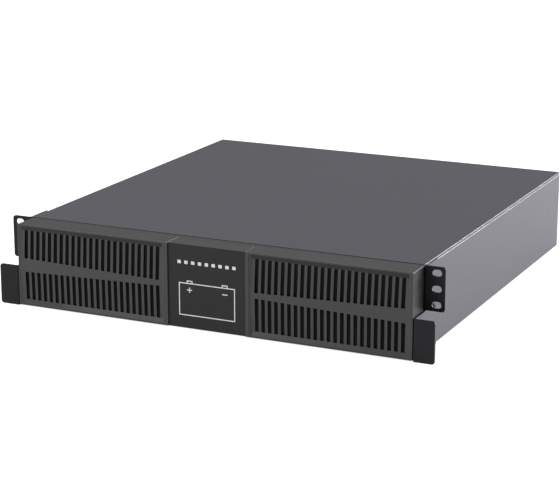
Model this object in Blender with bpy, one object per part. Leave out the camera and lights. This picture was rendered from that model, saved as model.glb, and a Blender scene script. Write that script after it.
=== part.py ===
"""External battery module of a two-unit rack or tower uninterruptible power supply.

Frame: +X right, +Y towards the back, +Z up. The origin is at the bottom centre of the
whole object's box. Every dimension is in metres.
"""

import math

import bmesh
import bpy
from mathutils import Matrix, Vector

# Outer sizes
WIDTH = 0.438
HEIGHT = 0.088
DEPTH = 0.470
RACK_WIDTH = 0.4826
TAB_WIDTH = 0.4836
EAR_TOP = 0.0884
REAR_PROUD = 0.012

# Common small sizes
SHEET = 0.0012
GAP = 0.0003
REACH = 0.004
LEAD_GAP = 0.0010
CORNER_STEPS = 4
SMOOTH_ANGLE = math.radians(35)

# Stations along the depth, from the bezel's front
FRONT = -(DEPTH + REAR_PROUD) / 2
REAR = FRONT + DEPTH
MOUTH = FRONT + 0.0310
FACE_PLATE = MOUTH + 0.0005
FRONT_FRAME = MOUTH + 0.0020
BULKHEAD = FRONT + 0.3525
REAR_PANEL = REAR - GAP - SHEET

# Bezel
BEZEL_LOW = 0.0009
BEZEL_HIGH = 0.0875
BEZEL_BACK = MOUTH - GAP
BEZEL_WALL = 0.0024
BEZEL_FACE = 0.0030
PANEL_HALF = (BEZEL_HIGH - BEZEL_LOW) / 2
PANEL_DEPTH = 0.0245
PANEL_SET_BACK = 0.0014
RAIL = 0.0037
BRIDGE_PLATE = 0.0020
BRIDGE_HOLLOW_HALF = 0.0410

# Grille
SLOTS = 23
SLOT_WIDTH = 0.0041
FIRST_SLOT = 0.2092
LAST_SLOT = 0.0551
SLOT_MARGIN = 0.0022
GRILLE_THICK = 0.0024
BAR_HALF_OUTER = 0.0074
BAR_HALF_INNER = 0.0026
FACET_LEAN = 0.042
BAR_SET_BACK_INNER = 0.0006

# Rack brackets
BRACKET_SHEET = 0.0018
EAR_FACE = FRONT + 0.0270
EAR_BOTTOM = 0.0440
EAR_ROOT = EAR_FACE + 0.0030
BRACKET_BACK = FRONT + 0.0600
BRACKET_TOP = 0.0868
TAB_TOP = 0.0426
CORNER = 0.0030
EAR_SLOTS = 3
EAR_SLOT_PITCH = 0.015875
EAR_SLOT_TOP = EAR_TOP - 0.00635
EAR_SLOT_CENTRE = 0.23275
EAR_SLOT_LENGTH = 0.0097
EAR_SLOT_HEIGHT = 0.0068
BRACKET_SCREWS = ((FRONT + 0.050, 0.042), (FRONT + 0.050, 0.014))
SCREW_HOLE = 0.0019
SCREW_PROFILE = ((-0.0050, 0.0016), (0, 0.0016), (0, 0.0030), (0.0008, 0.0030), (0.0014, 0.0022))
SCREW_RECESS = Vector((0.0012, 0.0032, 0.0008))

# Chassis
HALF = WIDTH / 2
SEAM = 0.0849
FLANGE_LOW = 0.0858
COVER_UNDER = HEIGHT - SHEET
LIP_TOP = COVER_UNDER - GAP
LIP_UNDER = LIP_TOP - SHEET
WALL_IN = HALF - SHEET
JOGGLE = SHEET + GAP
JOGGLE_OUT_TOP = SEAM + 0.0007
JOGGLE_IN_TOP = SEAM + 0.0003
JOGGLE_IN_LOW = SEAM - 0.0004
SHOULDER_LOW = SEAM - 0.0010
SHOULDER_TOP = SEAM - 0.0002
LIP_WIDTH = 0.010
INNER_TOP = LIP_UNDER - GAP
FLOOR_TOP = SHEET + GAP
PLATE_HALF = WALL_IN - GAP

# Trays and batteries
TRAY_IN = 0.0045
TRAY_OUT = 0.2125
TRAY_FLOOR = 0.0016
TRAY_WALL = 0.0150
TRAY_BACK = FRONT + 0.3430
FACE_IN = 0.0030
FACE_OUT = 0.2150
FACE_TOP = 0.0845
RAIL_LOW = 0.0745
OPENING_WIDTH = 0.212
OPENING_HEIGHT = 0.100
BATTERY = Vector((0.094, 0.151, 0.065))
BATTERY_LID = 0.012
BATTERY_LID_INSET = 0.0008
BATTERY_TAB = Vector((0.010, 0.0063, 0.0030))
BATTERY_TAB_INSET = 0.014
BATTERY_TAB_OFFSET = 0.020
BATTERY_ROWS = (FRONT + 0.0360, FRONT + 0.1890)
BATTERY_FLOOR = TRAY_FLOOR + SHEET + GAP
BATTERY_COLUMNS = (0.0061, 0.1169)
STRAP_SHEET = 0.0009
STRAP_LOW = 0.0040
STRAP_HALF = 0.028
THUMB_X = (0.054, 0.205)
THUMB_Z = 0.0795
THUMB_HOLE = 0.0023
THUMB_STEPS = 16
THUMB_PROFILE = (
    (-0.0060, 0.0019), (0, 0.0019), (0, 0.0044), (0.0070, 0.0044), (0.0078, 0.0036))
THUMB_RECESS = Vector((0.0060, 0.0030, 0.0012))
HANDLE_HALF = 0.045
HANDLE_Z = 0.043
HANDLE_RADIUS = 0.0035
HANDLE_PROUD = 0.0165
HANDLE_BEND = 0.008

# Series lead: points as (distance behind a battery's front, which row, height above mid-battery)
SERIES_RADIUS = 0.0020
SERIES_ROUTE = (
    (0.012, 0, 0.020), (0.040, 0, 0.018), (0.090, 0, 0.004), (-0.020, 1, -0.006), (0.016, 1, -0.020))

# Blind-mating plug and socket
DOCK_X = 0.1085
DOCK_Z = 0.0110
PLUG_BODY = Vector((0.034, 0.008, 0.015))
PLUG_BODY_BACK = 0.0043
PLUG_SPIGOT = Vector((0.024, 0.008, 0.008))
PLUG_SPIGOT_BACK = 0.0100
SOCKET_FACE = TRAY_BACK + 0.0086
SOCKET = Vector((0.036, 0.017, 0.016))
SOCKET_HOLLOW = Vector((0.0248, 0.020, 0.0088))

# Rear
CONNECTOR_X = (0.150, 0.085)
CONNECTOR_Z = 0.050
CONNECTOR = Vector((0.050, 0.030, 0.018))
CONNECTOR_FLANGE = Vector((0.062, 0.002, 0.026))
CONNECTOR_FLANGE_BACK = REAR + 0.0013
CONNECTOR_POLE = 0.0115
CONNECTOR_SOCKET = Vector((0.0140, 0.040, 0.0120))
BREAKER_X = 0.020
BREAKER_Z = 0.050
BREAKER = Vector((0.036, 0.030, 0.046))
BREAKER_PROUD = 0.0028
BREAKER_SLOT = Vector((0.0126, 0.036, 0.020))
LEVER_PIVOT = REAR - 0.0080
LEVER_TILT = math.radians(20)
LEVER_HUB = 0.0055
LEVER_REACH = 0.0185
LEVER_TIP_HALF = 0.0017
LEVER_HALF_WIDTH = 0.006
LEVER_STEPS = 12
PORT_X = -0.045
PORT_Z = 0.050
PORT = Vector((0.034, 0.018, 0.014))
PORT_PROUD = 0.0008
PORT_SOCKET = Vector((0.0120, 0.026, 0.0080))
PORT_POLE = 0.0080
STUD_X = -0.195
STUD_Z = 0.020
STUD_RADIUS = 0.0025
STUD_PROFILE = (
    (-0.0030, 0.0045), (0, 0.0045), (0, 0.0025), (0.0110, 0.0025), (0.0116, 0.0019))
NUT_RADIUS = 0.0046
NUT_THICK = 0.004
VENT_COLUMNS = 16
VENT_FIRST = -0.172
VENT_PITCH = 0.006
VENT_WIDTH = 0.003
VENT_HEIGHT = 0.040

# Wiring bay
FUSE_BLOCK_LOW = Vector((-0.045, FRONT + 0.385, FLOOR_TOP))
FUSE_BLOCK_HIGH = Vector((0.045, FRONT + 0.425, 0.018))
FUSE_X = 0.018
POST_INSET = 0.006
POST_RADIUS = 0.0040
POST_RISE = 0.0020
POST_ROOT = 0.0010
STRIP_HALF = 0.005
STRIP_INSET = 0.001
STRIP_THICK = 0.0015
STRIP_BASE = FUSE_BLOCK_HIGH.z + POST_RISE + GAP
BARREL_LENGTH = 0.018
BARREL_RADIUS = 0.0045
BARREL_RISE = 0.0030
BUSBAR_THICK = 0.0015
BUSBAR_LAP = 0.009
BUSBAR_TOP = 0.040
BUSBAR_CLEARANCE = 0.0020
HARNESS_RADIUS = 0.0040
HARNESS_STRAIGHT = 0.010
HARNESS_SWING = 0.012
HARNESS_DROP_BACK = 0.004
HARNESS_ENTRY = 0.020
OUTPUT_RADIUS = 0.0035
OUTPUT_HEIGHTS = (0.066, 0.034)
OUTPUT_START_Y = REAR - 0.018
OUTPUT_FIRST_STEP = (0.010, -0.002)
OUTPUT_APPROACH = (0.026, 0.014, 0.006)


# ---------------------------------------------------------------- materials


def material(name, colour, roughness, metallic=0.0):
    found = bpy.data.materials.new(name)
    found.use_nodes = True
    shader = found.node_tree.nodes["Principled BSDF"]
    shader.inputs["Base Color"].default_value = (*colour, 1.0)
    shader.inputs["Roughness"].default_value = roughness
    shader.inputs["Metallic"].default_value = metallic
    found.diffuse_color = (*colour, 1.0)
    return found


def make_materials():
    return {
        "chassis_paint": material("chassis_paint", (0.110, 0.107, 0.122), 0.45, 0.1),
        "bracket_paint": material("bracket_paint", (0.016, 0.016, 0.019), 0.40, 0.1),
        "bezel_plastic": material("bezel_plastic", (0.060, 0.060, 0.060), 0.50),
        "panel_plastic": material("panel_plastic", (0.036, 0.036, 0.036), 0.42),
        "zinc_steel": material("zinc_steel", (0.55, 0.56, 0.57), 0.38, 1.0),
        "black_screw": material("black_screw", (0.020, 0.020, 0.022), 0.35, 0.6),
        "battery_case": material("battery_case", (0.035, 0.035, 0.038), 0.55),
        "black_plastic": material("black_plastic", (0.018, 0.018, 0.020), 0.45),
        "red_plastic": material("red_plastic", (0.420, 0.020, 0.018), 0.42),
        "copper": material("copper", (0.72, 0.38, 0.22), 0.30, 1.0),
        "ceramic": material("ceramic", (0.72, 0.70, 0.66), 0.50),
        "cable_red": material("cable_red", (0.360, 0.020, 0.018), 0.50),
        "cable_black": material("cable_black", (0.020, 0.020, 0.022), 0.50),
        "handle_black": material("handle_black", (0.022, 0.022, 0.024), 0.60),
    }


# ---------------------------------------------------------------- solids


def clear_scene():
    for old in list(bpy.data.objects):
        bpy.data.objects.remove(old, do_unlink=True)


def prism(outline, axis, start, end):
    """A closed solid: a 2-D outline swept along X, Y or Z."""
    place = {
        "X": lambda a, b, c: (c, a, b),
        "Y": lambda a, b, c: (a, c, b),
        "Z": lambda a, b, c: (a, b, c),
    }[axis]
    solid = bmesh.new()
    first = [solid.verts.new(place(a, b, start)) for a, b in outline]
    last = [solid.verts.new(place(a, b, end)) for a, b in outline]
    solid.faces.new(first)
    solid.faces.new(list(reversed(last)))
    for i in range(len(outline)):
        j = (i + 1) % len(outline)
        solid.faces.new((first[i], last[i], last[j], first[j]))
    bmesh.ops.recalc_face_normals(solid, faces=solid.faces)
    return solid


def block(low, high):
    """A box between two corners, given in any order."""
    outline = [(low[0], low[1]), (high[0], low[1]), (high[0], high[1]), (low[0], high[1])]
    return prism(outline, "Z", low[2], high[2])


def middle_block(centre, size):
    half = Vector(size) / 2
    return block(Vector(centre) - half, Vector(centre) + half)


def turned(profile, base, axis, steps=12):
    """A solid of revolution; profile holds (distance along the axis, radius) pairs."""
    turn = Vector((0, 0, 1)).rotation_difference(Vector(axis)).to_matrix()
    solid = bmesh.new()
    rings = []
    for along, radius in profile:
        ring = []
        for step in range(steps):
            angle = 2 * math.pi * (step + 0.5) / steps
            point = Vector((radius * math.cos(angle), radius * math.sin(angle), along))
            ring.append(solid.verts.new(Vector(base) + turn @ point))
        rings.append(ring)
    for lower, upper in zip(rings, rings[1:]):
        for i in range(steps):
            j = (i + 1) % steps
            solid.faces.new((lower[i], lower[j], upper[j], upper[i]))
    solid.faces.new(rings[0])
    solid.faces.new(rings[-1])
    bmesh.ops.recalc_face_normals(solid, faces=solid.faces)
    return solid


def rod(base, axis, length, radius, steps=12):
    return turned(((0, radius), (length, radius)), base, axis, steps)


def arc(centre, radius, start, end, steps):
    """Points on an arc, both ends included; angles in degrees."""
    points = []
    for i in range(steps + 1):
        angle = math.radians(start + (end - start) * i / steps)
        points.append((centre[0] + radius * math.cos(angle), centre[1] + radius * math.sin(angle)))
    return points


def stadium(centre, length, height, steps=6):
    """The outline of a slot with round ends, longest along its first axis."""
    radius = height / 2
    reach = length / 2 - radius
    right = arc((centre[0] + reach, centre[1]), radius, -90, 90, steps)
    left = arc((centre[0] - reach, centre[1]), radius, 90, 270, steps)
    return right + left


def rectangle(centre, width, height):
    x, z = centre
    return [
        (x - width / 2, z - height / 2),
        (x + width / 2, z - height / 2),
        (x + width / 2, z + height / 2),
        (x - width / 2, z + height / 2),
    ]


def flipped(outline, side):
    """The outline on the given side: -1 mirrors its first coordinate."""
    return [(side * a, b) for a, b in outline]


def gathered(solids):
    """Several solids that don't touch, in one bmesh, for use as one cutter."""
    whole = bmesh.new()
    for solid in solids:
        held = bpy.data.meshes.new("held")
        solid.to_mesh(held)
        solid.free()
        whole.from_mesh(held)
        bpy.data.meshes.remove(held)
    return whole


def boolean(body, others, operation):
    """The body joined with, or cut by, each of the others in turn."""
    helpers = []
    for i, solid in enumerate([body, *others]):
        mesh = bpy.data.meshes.new("helper")
        solid.to_mesh(mesh)
        solid.free()
        helper = bpy.data.objects.new("helper", mesh)
        bpy.context.collection.objects.link(helper)
        helpers.append(helper)
        if i > 0:
            modifier = helpers[0].modifiers.new("step", "BOOLEAN")
            modifier.operation = operation
            modifier.object = helper
    bpy.context.view_layer.update()
    evaluated = helpers[0].evaluated_get(bpy.context.evaluated_depsgraph_get())
    result = bmesh.new()
    result.from_mesh(evaluated.to_mesh())
    evaluated.to_mesh_clear()
    for helper in helpers:
        mesh = helper.data
        bpy.data.objects.remove(helper, do_unlink=True)
        bpy.data.meshes.remove(mesh)
    return result


def joined(body, *others):
    return boolean(body, others, "UNION")


def cut(body, *others):
    return boolean(body, others, "DIFFERENCE")


def add(name, solid, slot, pivot=(0, 0, 0), smooth=False):
    """Puts a solid in the scene as one named object with its origin at the pivot."""
    bmesh.ops.translate(solid, verts=solid.verts, vec=-Vector(pivot))
    mesh = bpy.data.meshes.new(name)
    solid.to_mesh(mesh)
    solid.free()
    mesh.materials.append(MATERIALS[slot])
    if smooth:
        mesh.shade_smooth()
        mesh.set_sharp_from_angle(angle=SMOOTH_ANGLE)
    item = bpy.data.objects.new(name, mesh)
    item.location = pivot
    bpy.context.collection.objects.link(item)
    return item


def add_tube(name, points, radius, slot):
    """A round bar or lead along a list of points."""
    curve = bpy.data.curves.new(name, "CURVE")
    curve.dimensions = "3D"
    curve.bevel_depth = radius
    curve.bevel_resolution = 2
    curve.use_fill_caps = True
    spline = curve.splines.new("POLY")
    spline.points.add(len(points) - 1)
    for spot, point in zip(spline.points, points):
        spot.co = (*point, 1.0)
    curve.materials.append(MATERIALS[slot])
    item = bpy.data.objects.new(name, curve)
    bpy.context.collection.objects.link(item)
    return item


def smooth_route(corners, steps=4):
    """A Catmull-Rom curve through the corners of a lead's route."""
    corners = [Vector(corner) for corner in corners]
    ends = [2 * corners[0] - corners[1], *corners, 2 * corners[-1] - corners[-2]]
    points = []
    for a, b, c, d in zip(ends, ends[1:], ends[2:], ends[3:]):
        for i in range(steps):
            t = i / steps
            points.append(
                0.5 * (2 * b + (c - a) * t + (2 * a - 5 * b + 4 * c - d) * t**2
                       + (3 * b - a - 3 * c + d) * t**3)
            )
    points.append(corners[-1])
    return points


# ---------------------------------------------------------------- chassis


def base_pan():
    """Floor and side walls in one folded sheet; the walls step in to let the cover's flange sit flush."""
    half = [
        (HALF, 0),
        (HALF, SEAM),
        (HALF - JOGGLE, JOGGLE_OUT_TOP),
        (HALF - JOGGLE, LIP_TOP),
        (HALF - JOGGLE - LIP_WIDTH, LIP_TOP),
        (HALF - JOGGLE - LIP_WIDTH, LIP_UNDER),
        (WALL_IN - JOGGLE, LIP_UNDER),
        (WALL_IN - JOGGLE, JOGGLE_IN_TOP),
        (WALL_IN, JOGGLE_IN_LOW),
        (WALL_IN, SHEET),
    ]
    outline = half + [(-x, z) for x, z in reversed(half)]
    holes = []
    for side in (-1, 1):
        for y, z in BRACKET_SCREWS:
            holes.append(rod((side * (HALF + REACH), y, z), (-side, 0, 0), 2 * REACH, SCREW_HOLE))
    add("base_pan", cut(prism(outline, "Y", MOUTH, REAR), gathered(holes)), "chassis_paint")


def top_cover():
    half = [(HALF, HEIGHT), (HALF, FLANGE_LOW), (WALL_IN, FLANGE_LOW), (WALL_IN, COVER_UNDER)]
    outline = half + [(-x, z) for x, z in reversed(half)]
    add("top_cover", prism(outline, "Y", MOUTH, REAR), "chassis_paint")


def plate_outline():
    """A cross plate that fills the chassis, with its top tab between the side walls' lips."""
    tab = HALF - JOGGLE - LIP_WIDTH - GAP
    shoulder = WALL_IN - JOGGLE - GAP
    half = [
        (PLATE_HALF, FLOOR_TOP),
        (PLATE_HALF, SHOULDER_LOW),
        (shoulder, SHOULDER_TOP),
        (shoulder, INNER_TOP),
        (tab, INNER_TOP),
        (tab, LIP_TOP),
    ]
    return half + [(-x, z) for x, z in reversed(half)]


def rear_panel():
    through = (REAR_PANEL - REACH, REAR_PANEL + REACH)
    holes = []
    for x in CONNECTOR_X:
        size = (CONNECTOR.x + 2 * GAP, CONNECTOR.z + 2 * GAP)
        holes.append(prism(rectangle((x, CONNECTOR_Z), *size), "Y", *through))
    size = (BREAKER.x + 2 * GAP, BREAKER.z + 2 * GAP)
    holes.append(prism(rectangle((BREAKER_X, BREAKER_Z), *size), "Y", *through))
    size = (PORT.x + 2 * GAP, PORT.z + 2 * GAP)
    holes.append(prism(rectangle((PORT_X, PORT_Z), *size), "Y", *through))
    holes.append(rod((STUD_X, through[0], STUD_Z), (0, 1, 0), 2 * REACH, STUD_RADIUS + GAP))
    for i in range(VENT_COLUMNS):
        centre = (VENT_FIRST + VENT_PITCH * i, BREAKER_Z)
        holes.append(prism(rectangle(centre, VENT_WIDTH, VENT_HEIGHT), "Y", *through))
    plate = prism(plate_outline(), "Y", REAR_PANEL, REAR_PANEL + SHEET)
    add("rear_panel", cut(plate, gathered(holes)), "chassis_paint")


def front_frame():
    """The cross plate in the chassis's mouth that the tray faces screw to; the trays pass under its rail."""
    through = (FRONT_FRAME - REACH, FRONT_FRAME + REACH)
    openings = []
    for side in (-1, 1):
        centre = (side * DOCK_X, RAIL_LOW - OPENING_HEIGHT / 2)
        openings.append(prism(rectangle(centre, OPENING_WIDTH, OPENING_HEIGHT), "Y", *through))
        for x in THUMB_X:
            openings.append(rod((side * x, through[0], THUMB_Z), (0, 1, 0), 2 * REACH, THUMB_HOLE))
    plate = prism(plate_outline(), "Y", FRONT_FRAME, FRONT_FRAME + SHEET)
    add("front_frame", cut(plate, gathered(openings)), "chassis_paint")


def centre_divider():
    """The wall between the two trays, with a fold along its top."""
    half = SHEET / 2
    outline = [
        (-half, FLOOR_TOP),
        (half, FLOOR_TOP),
        (half, LIP_UNDER),
        (LIP_WIDTH, LIP_UNDER),
        (LIP_WIDTH, LIP_TOP),
        (-half, LIP_TOP),
    ]
    wall = prism(outline, "Y", FRONT_FRAME + SHEET + GAP, BULKHEAD - GAP)
    add("centre_divider", wall, "zinc_steel")


def rear_bulkhead():
    through = (BULKHEAD - REACH, BULKHEAD + REACH)
    holes = []
    for side in (-1, 1):
        size = (SOCKET.x + 2 * GAP, SOCKET.z + 2 * GAP)
        holes.append(prism(rectangle((side * DOCK_X, DOCK_Z), *size), "Y", *through))
    plate = prism(plate_outline(), "Y", BULKHEAD, BULKHEAD + SHEET)
    add("rear_bulkhead", cut(plate, gathered(holes)), "zinc_steel")


# ---------------------------------------------------------------- rack brackets


def rack_bracket(name, side):
    """A side plate with a slotted rack ear on its upper half and a pull tab on its lower half."""
    inner = HALF + GAP
    outer = inner + BRACKET_SHEET
    plate = [
        (FRONT, 0),
        (BRACKET_BACK, 0),
        (BRACKET_BACK, BRACKET_TOP),
        (EAR_ROOT, BRACKET_TOP),
        (EAR_ROOT, EAR_TOP),
        (EAR_FACE, EAR_TOP),
        (EAR_FACE, TAB_TOP),
        (FRONT, TAB_TOP),
    ]
    body = prism(plate, "X", side * inner, side * outer)
    ear_edge = RACK_WIDTH / 2
    ear = [(inner, EAR_BOTTOM)]
    ear += arc((ear_edge - CORNER, EAR_BOTTOM + CORNER), CORNER, -90, 0, CORNER_STEPS)
    ear += arc((ear_edge - CORNER, EAR_TOP - CORNER), CORNER, 0, 90, CORNER_STEPS)
    ear += [(inner, EAR_TOP)]
    ear = prism(flipped(ear, side), "Y", EAR_FACE, EAR_FACE + BRACKET_SHEET)
    tab_edge = TAB_WIDTH / 2
    tab = [(inner, 0)]
    tab += arc((tab_edge - CORNER, CORNER), CORNER, -90, 0, CORNER_STEPS)
    tab += arc((tab_edge - CORNER, TAB_TOP - CORNER), CORNER, 0, 90, CORNER_STEPS)
    tab += [(inner, TAB_TOP)]
    tab = prism(flipped(tab, side), "Y", FRONT, FRONT + BRACKET_SHEET)
    holes = []
    for i in range(EAR_SLOTS):
        centre = (side * EAR_SLOT_CENTRE, EAR_SLOT_TOP - EAR_SLOT_PITCH * i)
        slot = stadium(centre, EAR_SLOT_LENGTH, EAR_SLOT_HEIGHT)
        holes.append(prism(slot, "Y", EAR_FACE - REACH, EAR_FACE + REACH))
    for y, z in BRACKET_SCREWS:
        holes.append(rod((side * (inner - REACH), y, z), (side, 0, 0), 3 * REACH, SCREW_HOLE))
    add(name, cut(joined(body, ear, tab), gathered(holes)), "bracket_paint")


def bracket_screw(name, side, y, z):
    """A flat-headed machine screw through the bracket and the side wall."""
    face = HALF + GAP + BRACKET_SHEET + GAP
    screw = turned(SCREW_PROFILE, (side * face, y, z), (side, 0, 0))
    recess = middle_block((side * (face + SCREW_PROFILE[-1][0]), y, z), SCREW_RECESS)
    add(name, cut(screw, recess), "black_screw", (side * face, y, z), smooth=True)


# ---------------------------------------------------------------- bezel


def bezel_frame(name, side):
    """One end moulding: a bay open to the back, with a window for its grille."""
    low = BEZEL_LOW + BEZEL_WALL
    high = BEZEL_HIGH - BEZEL_WALL
    body = block((side * PANEL_HALF, FRONT, BEZEL_LOW), (side * HALF, BEZEL_BACK, BEZEL_HIGH))
    bay_in = side * (PANEL_HALF + BEZEL_WALL)
    bay_out = side * (HALF - BEZEL_WALL)
    bay = block((bay_in, FRONT + BEZEL_FACE, low), (bay_out, BEZEL_BACK + REACH, high))
    centre = (side * (PANEL_HALF + HALF) / 2, (BEZEL_LOW + BEZEL_HIGH) / 2)
    width = HALF - PANEL_HALF - 2 * RAIL
    height = BEZEL_HIGH - BEZEL_LOW - 2 * RAIL
    window = prism(rectangle(centre, width, height), "Y", FRONT - REACH, FRONT + REACH)
    add(name, cut(cut(body, bay), window), "bezel_plastic")


def bezel_bridge():
    """The back of the square recess, which joins the two end mouldings behind the panel."""
    half = PANEL_HALF - GAP
    start = FRONT + PANEL_DEPTH
    body = block((-half, start, BEZEL_LOW), (half, BEZEL_BACK, BEZEL_HIGH))
    hollow = block(
        (-BRIDGE_HOLLOW_HALF, start + BRIDGE_PLATE, BEZEL_LOW + BEZEL_WALL),
        (BRIDGE_HOLLOW_HALF, BEZEL_BACK + REACH, BEZEL_HIGH - BEZEL_WALL))
    add("bezel_bridge", cut(body, hollow), "bezel_plastic")


def bar_half(x):
    """Half the height of the plain bar between the two rows of slots; it narrows towards the centre."""
    share = (abs(x) - PANEL_HALF) / (HALF - PANEL_HALF)
    return BAR_HALF_INNER + (BAR_HALF_OUTER - BAR_HALF_INNER) * share


def bar_set_back(x):
    share = (abs(x) - PANEL_HALF) / (HALF - PANEL_HALF)
    return BAR_SET_BACK_INNER * (1 - share)


def grille(name, side):
    """A slotted insert whose two halves lean back from the plain bar between the rows of slots."""
    middle = (BEZEL_LOW + BEZEL_HIGH) / 2
    reach = PANEL_HALF - RAIL - GAP
    solid = bmesh.new()
    sections = []
    for x in (PANEL_HALF + RAIL + GAP, HALF - RAIL - GAP):
        edge_back = bar_set_back(x) + FACET_LEAN * (reach - bar_half(x))
        fronts = [
            (-reach, edge_back),
            (-bar_half(x), bar_set_back(x)),
            (bar_half(x), bar_set_back(x)),
            (reach, edge_back),
        ]
        ring = [Vector((side * x, FRONT + back, middle + z)) for z, back in fronts]
        ring += [point + Vector((0, GRILLE_THICK, 0)) for point in reversed(ring)]
        sections.append([solid.verts.new(point) for point in ring])
    first, last = sections
    solid.faces.new(first)
    solid.faces.new(last)
    for i in range(len(first)):
        j = (i + 1) % len(first)
        solid.faces.new((first[i], first[j], last[j], last[i]))
    bmesh.ops.recalc_face_normals(solid, faces=solid.faces)
    slots = []
    for i in range(SLOTS):
        x = LAST_SLOT + (FIRST_SLOT - LAST_SLOT) * i / (SLOTS - 1)
        inner = bar_half(x)
        outer = reach - SLOT_MARGIN
        for way in (-1, 1):
            centre = (side * x, middle + way * (inner + outer) / 2)
            outline = rectangle(centre, SLOT_WIDTH, outer - inner)
            slots.append(prism(outline, "Y", FRONT - REACH, FRONT + 2 * REACH))
    add(name, cut(solid, gathered(slots)), "bezel_plastic")


def centre_panel():
    """The square push-in panel: a plate with four side walls, so it also fits after a quarter turn."""
    middle = (BEZEL_LOW + BEZEL_HIGH) / 2
    half = PANEL_HALF - GAP
    face = FRONT + PANEL_SET_BACK
    back = FRONT + PANEL_DEPTH - GAP
    body = block((-half, face, middle - PANEL_HALF), (half, back, middle + PANEL_HALF))
    inside = half - BEZEL_WALL
    hollow = block((-inside, face + BEZEL_WALL, middle - inside), (inside, back + REACH, middle + inside))
    add("centre_panel", cut(body, hollow), "panel_plastic", (0, face, middle))


# ---------------------------------------------------------------- battery trays


def tray(name, side):
    """A folded tray: floor, low walls, and the tall face plate that screws to the front frame."""
    floor = block((side * TRAY_IN, FACE_PLATE, TRAY_FLOOR), (side * TRAY_OUT, TRAY_BACK, TRAY_FLOOR + SHEET))
    walls_start = FRONT_FRAME + SHEET + GAP
    parts = []
    for x in (TRAY_IN, TRAY_OUT - SHEET):
        parts.append(block((side * x, walls_start, TRAY_FLOOR), (side * (x + SHEET), TRAY_BACK, TRAY_WALL)))
    parts.append(block(
        (side * TRAY_IN, TRAY_BACK - SHEET, TRAY_FLOOR),
        (side * TRAY_OUT, TRAY_BACK, TRAY_WALL)))
    parts.append(block(
        (side * FACE_IN, FACE_PLATE, TRAY_FLOOR),
        (side * FACE_OUT, FACE_PLATE + SHEET, FACE_TOP)))
    holes = []
    for x in THUMB_X:
        holes.append(rod((side * x, FACE_PLATE - REACH, THUMB_Z), (0, 1, 0), 2 * REACH, THUMB_HOLE))
    add(name, cut(joined(floor, *parts), gathered(holes)), "bracket_paint")


def battery(name, side, column, y):
    """A sealed lead-acid block lying on its side; its lid and two tabs face the tray's middle channel."""
    width, length, height = BATTERY
    faces_out = column == 0
    start = BATTERY_COLUMNS[column]
    case_width = width - BATTERY_LID
    case_x = start if faces_out else start + BATTERY_LID
    lid_x = start + case_width if faces_out else start
    top = BATTERY_FLOOR + height
    case = block((side * case_x, y, BATTERY_FLOOR), (side * (case_x + case_width), y + length, top))
    inset = BATTERY_LID_INSET
    lid = block(
        (side * (lid_x - GAP), y + inset, BATTERY_FLOOR + inset),
        (side * (lid_x + BATTERY_LID + GAP), y + length - inset, top - inset),
    )
    tabs = []
    tab_x = start + width if faces_out else start
    for z in (-BATTERY_TAB_OFFSET, BATTERY_TAB_OFFSET):
        centre = (side * tab_x, y + BATTERY_TAB_INSET, BATTERY_FLOOR + height / 2 + z)
        tabs.append(middle_block(centre, BATTERY_TAB))
    add(name, joined(case, lid, *tabs), "battery_case")


def battery_strap(name, side):
    """An inverted channel over the batteries' inner ends, its legs outside the tray's walls."""
    top = BATTERY_FLOOR + BATTERY.z + GAP
    leg_in = TRAY_IN - GAP
    leg_out = TRAY_OUT + GAP
    outline = [
        (leg_in - STRAP_SHEET, STRAP_LOW),
        (leg_in, STRAP_LOW),
        (leg_in, top),
        (leg_out, top),
        (leg_out, STRAP_LOW),
        (leg_out + STRAP_SHEET, STRAP_LOW),
        (leg_out + STRAP_SHEET, top + SHEET),
        (leg_in - STRAP_SHEET, top + SHEET),
    ]
    middle = (BATTERY_ROWS[1] + BATTERY_ROWS[0] + BATTERY.y) / 2
    add(name, prism(flipped(outline, side), "Y", middle - STRAP_HALF, middle + STRAP_HALF), "zinc_steel")


def tray_handle(name, side):
    """A round bar bent into a pull handle on the tray's face."""
    bend = HANDLE_BEND
    start = FACE_PLATE - GAP
    front = FACE_PLATE - HANDLE_PROUD
    centre = side * DOCK_X
    left = arc((centre - HANDLE_HALF + bend, front + bend), bend, 180, 270, CORNER_STEPS)
    right = arc((centre + HANDLE_HALF - bend, front + bend), bend, 270, 360, CORNER_STEPS)
    flat = [(centre - HANDLE_HALF, start), *left, *right, (centre + HANDLE_HALF, start)]
    add_tube(name, [(x, y, HANDLE_Z) for x, y in flat], HANDLE_RADIUS, "handle_black")


def series_lead(name, side):
    """The lead in the tray's middle channel that joins the front pair of batteries to the rear pair."""
    x = side * (BATTERY_COLUMNS[0] + BATTERY.x + BATTERY_COLUMNS[1]) / 2
    middle = BATTERY_FLOOR + BATTERY.z / 2
    corners = [(x, BATTERY_ROWS[row] + behind, middle + rise) for behind, row, rise in SERIES_ROUTE]
    add_tube(name, smooth_route(corners), SERIES_RADIUS, "cable_black")


def thumbscrew(name, x):
    """A knurled captive screw; its shank passes the tray's face and the front frame."""
    base = FACE_PLATE - GAP
    screw = turned(THUMB_PROFILE, (x, base, THUMB_Z), (0, -1, 0), THUMB_STEPS)
    recess = middle_block((x, base - THUMB_PROFILE[-1][0], THUMB_Z), THUMB_RECESS)
    add(name, cut(screw, recess), "zinc_steel", (x, base, THUMB_Z), smooth=True)


def tray_plug(name, side):
    """The tray's half of the blind-mating power connector."""
    body = middle_block((side * DOCK_X, TRAY_BACK + PLUG_BODY_BACK, DOCK_Z), PLUG_BODY)
    spigot = middle_block((side * DOCK_X, TRAY_BACK + PLUG_SPIGOT_BACK, DOCK_Z), PLUG_SPIGOT)
    add(name, joined(body, spigot), "black_plastic")


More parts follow.
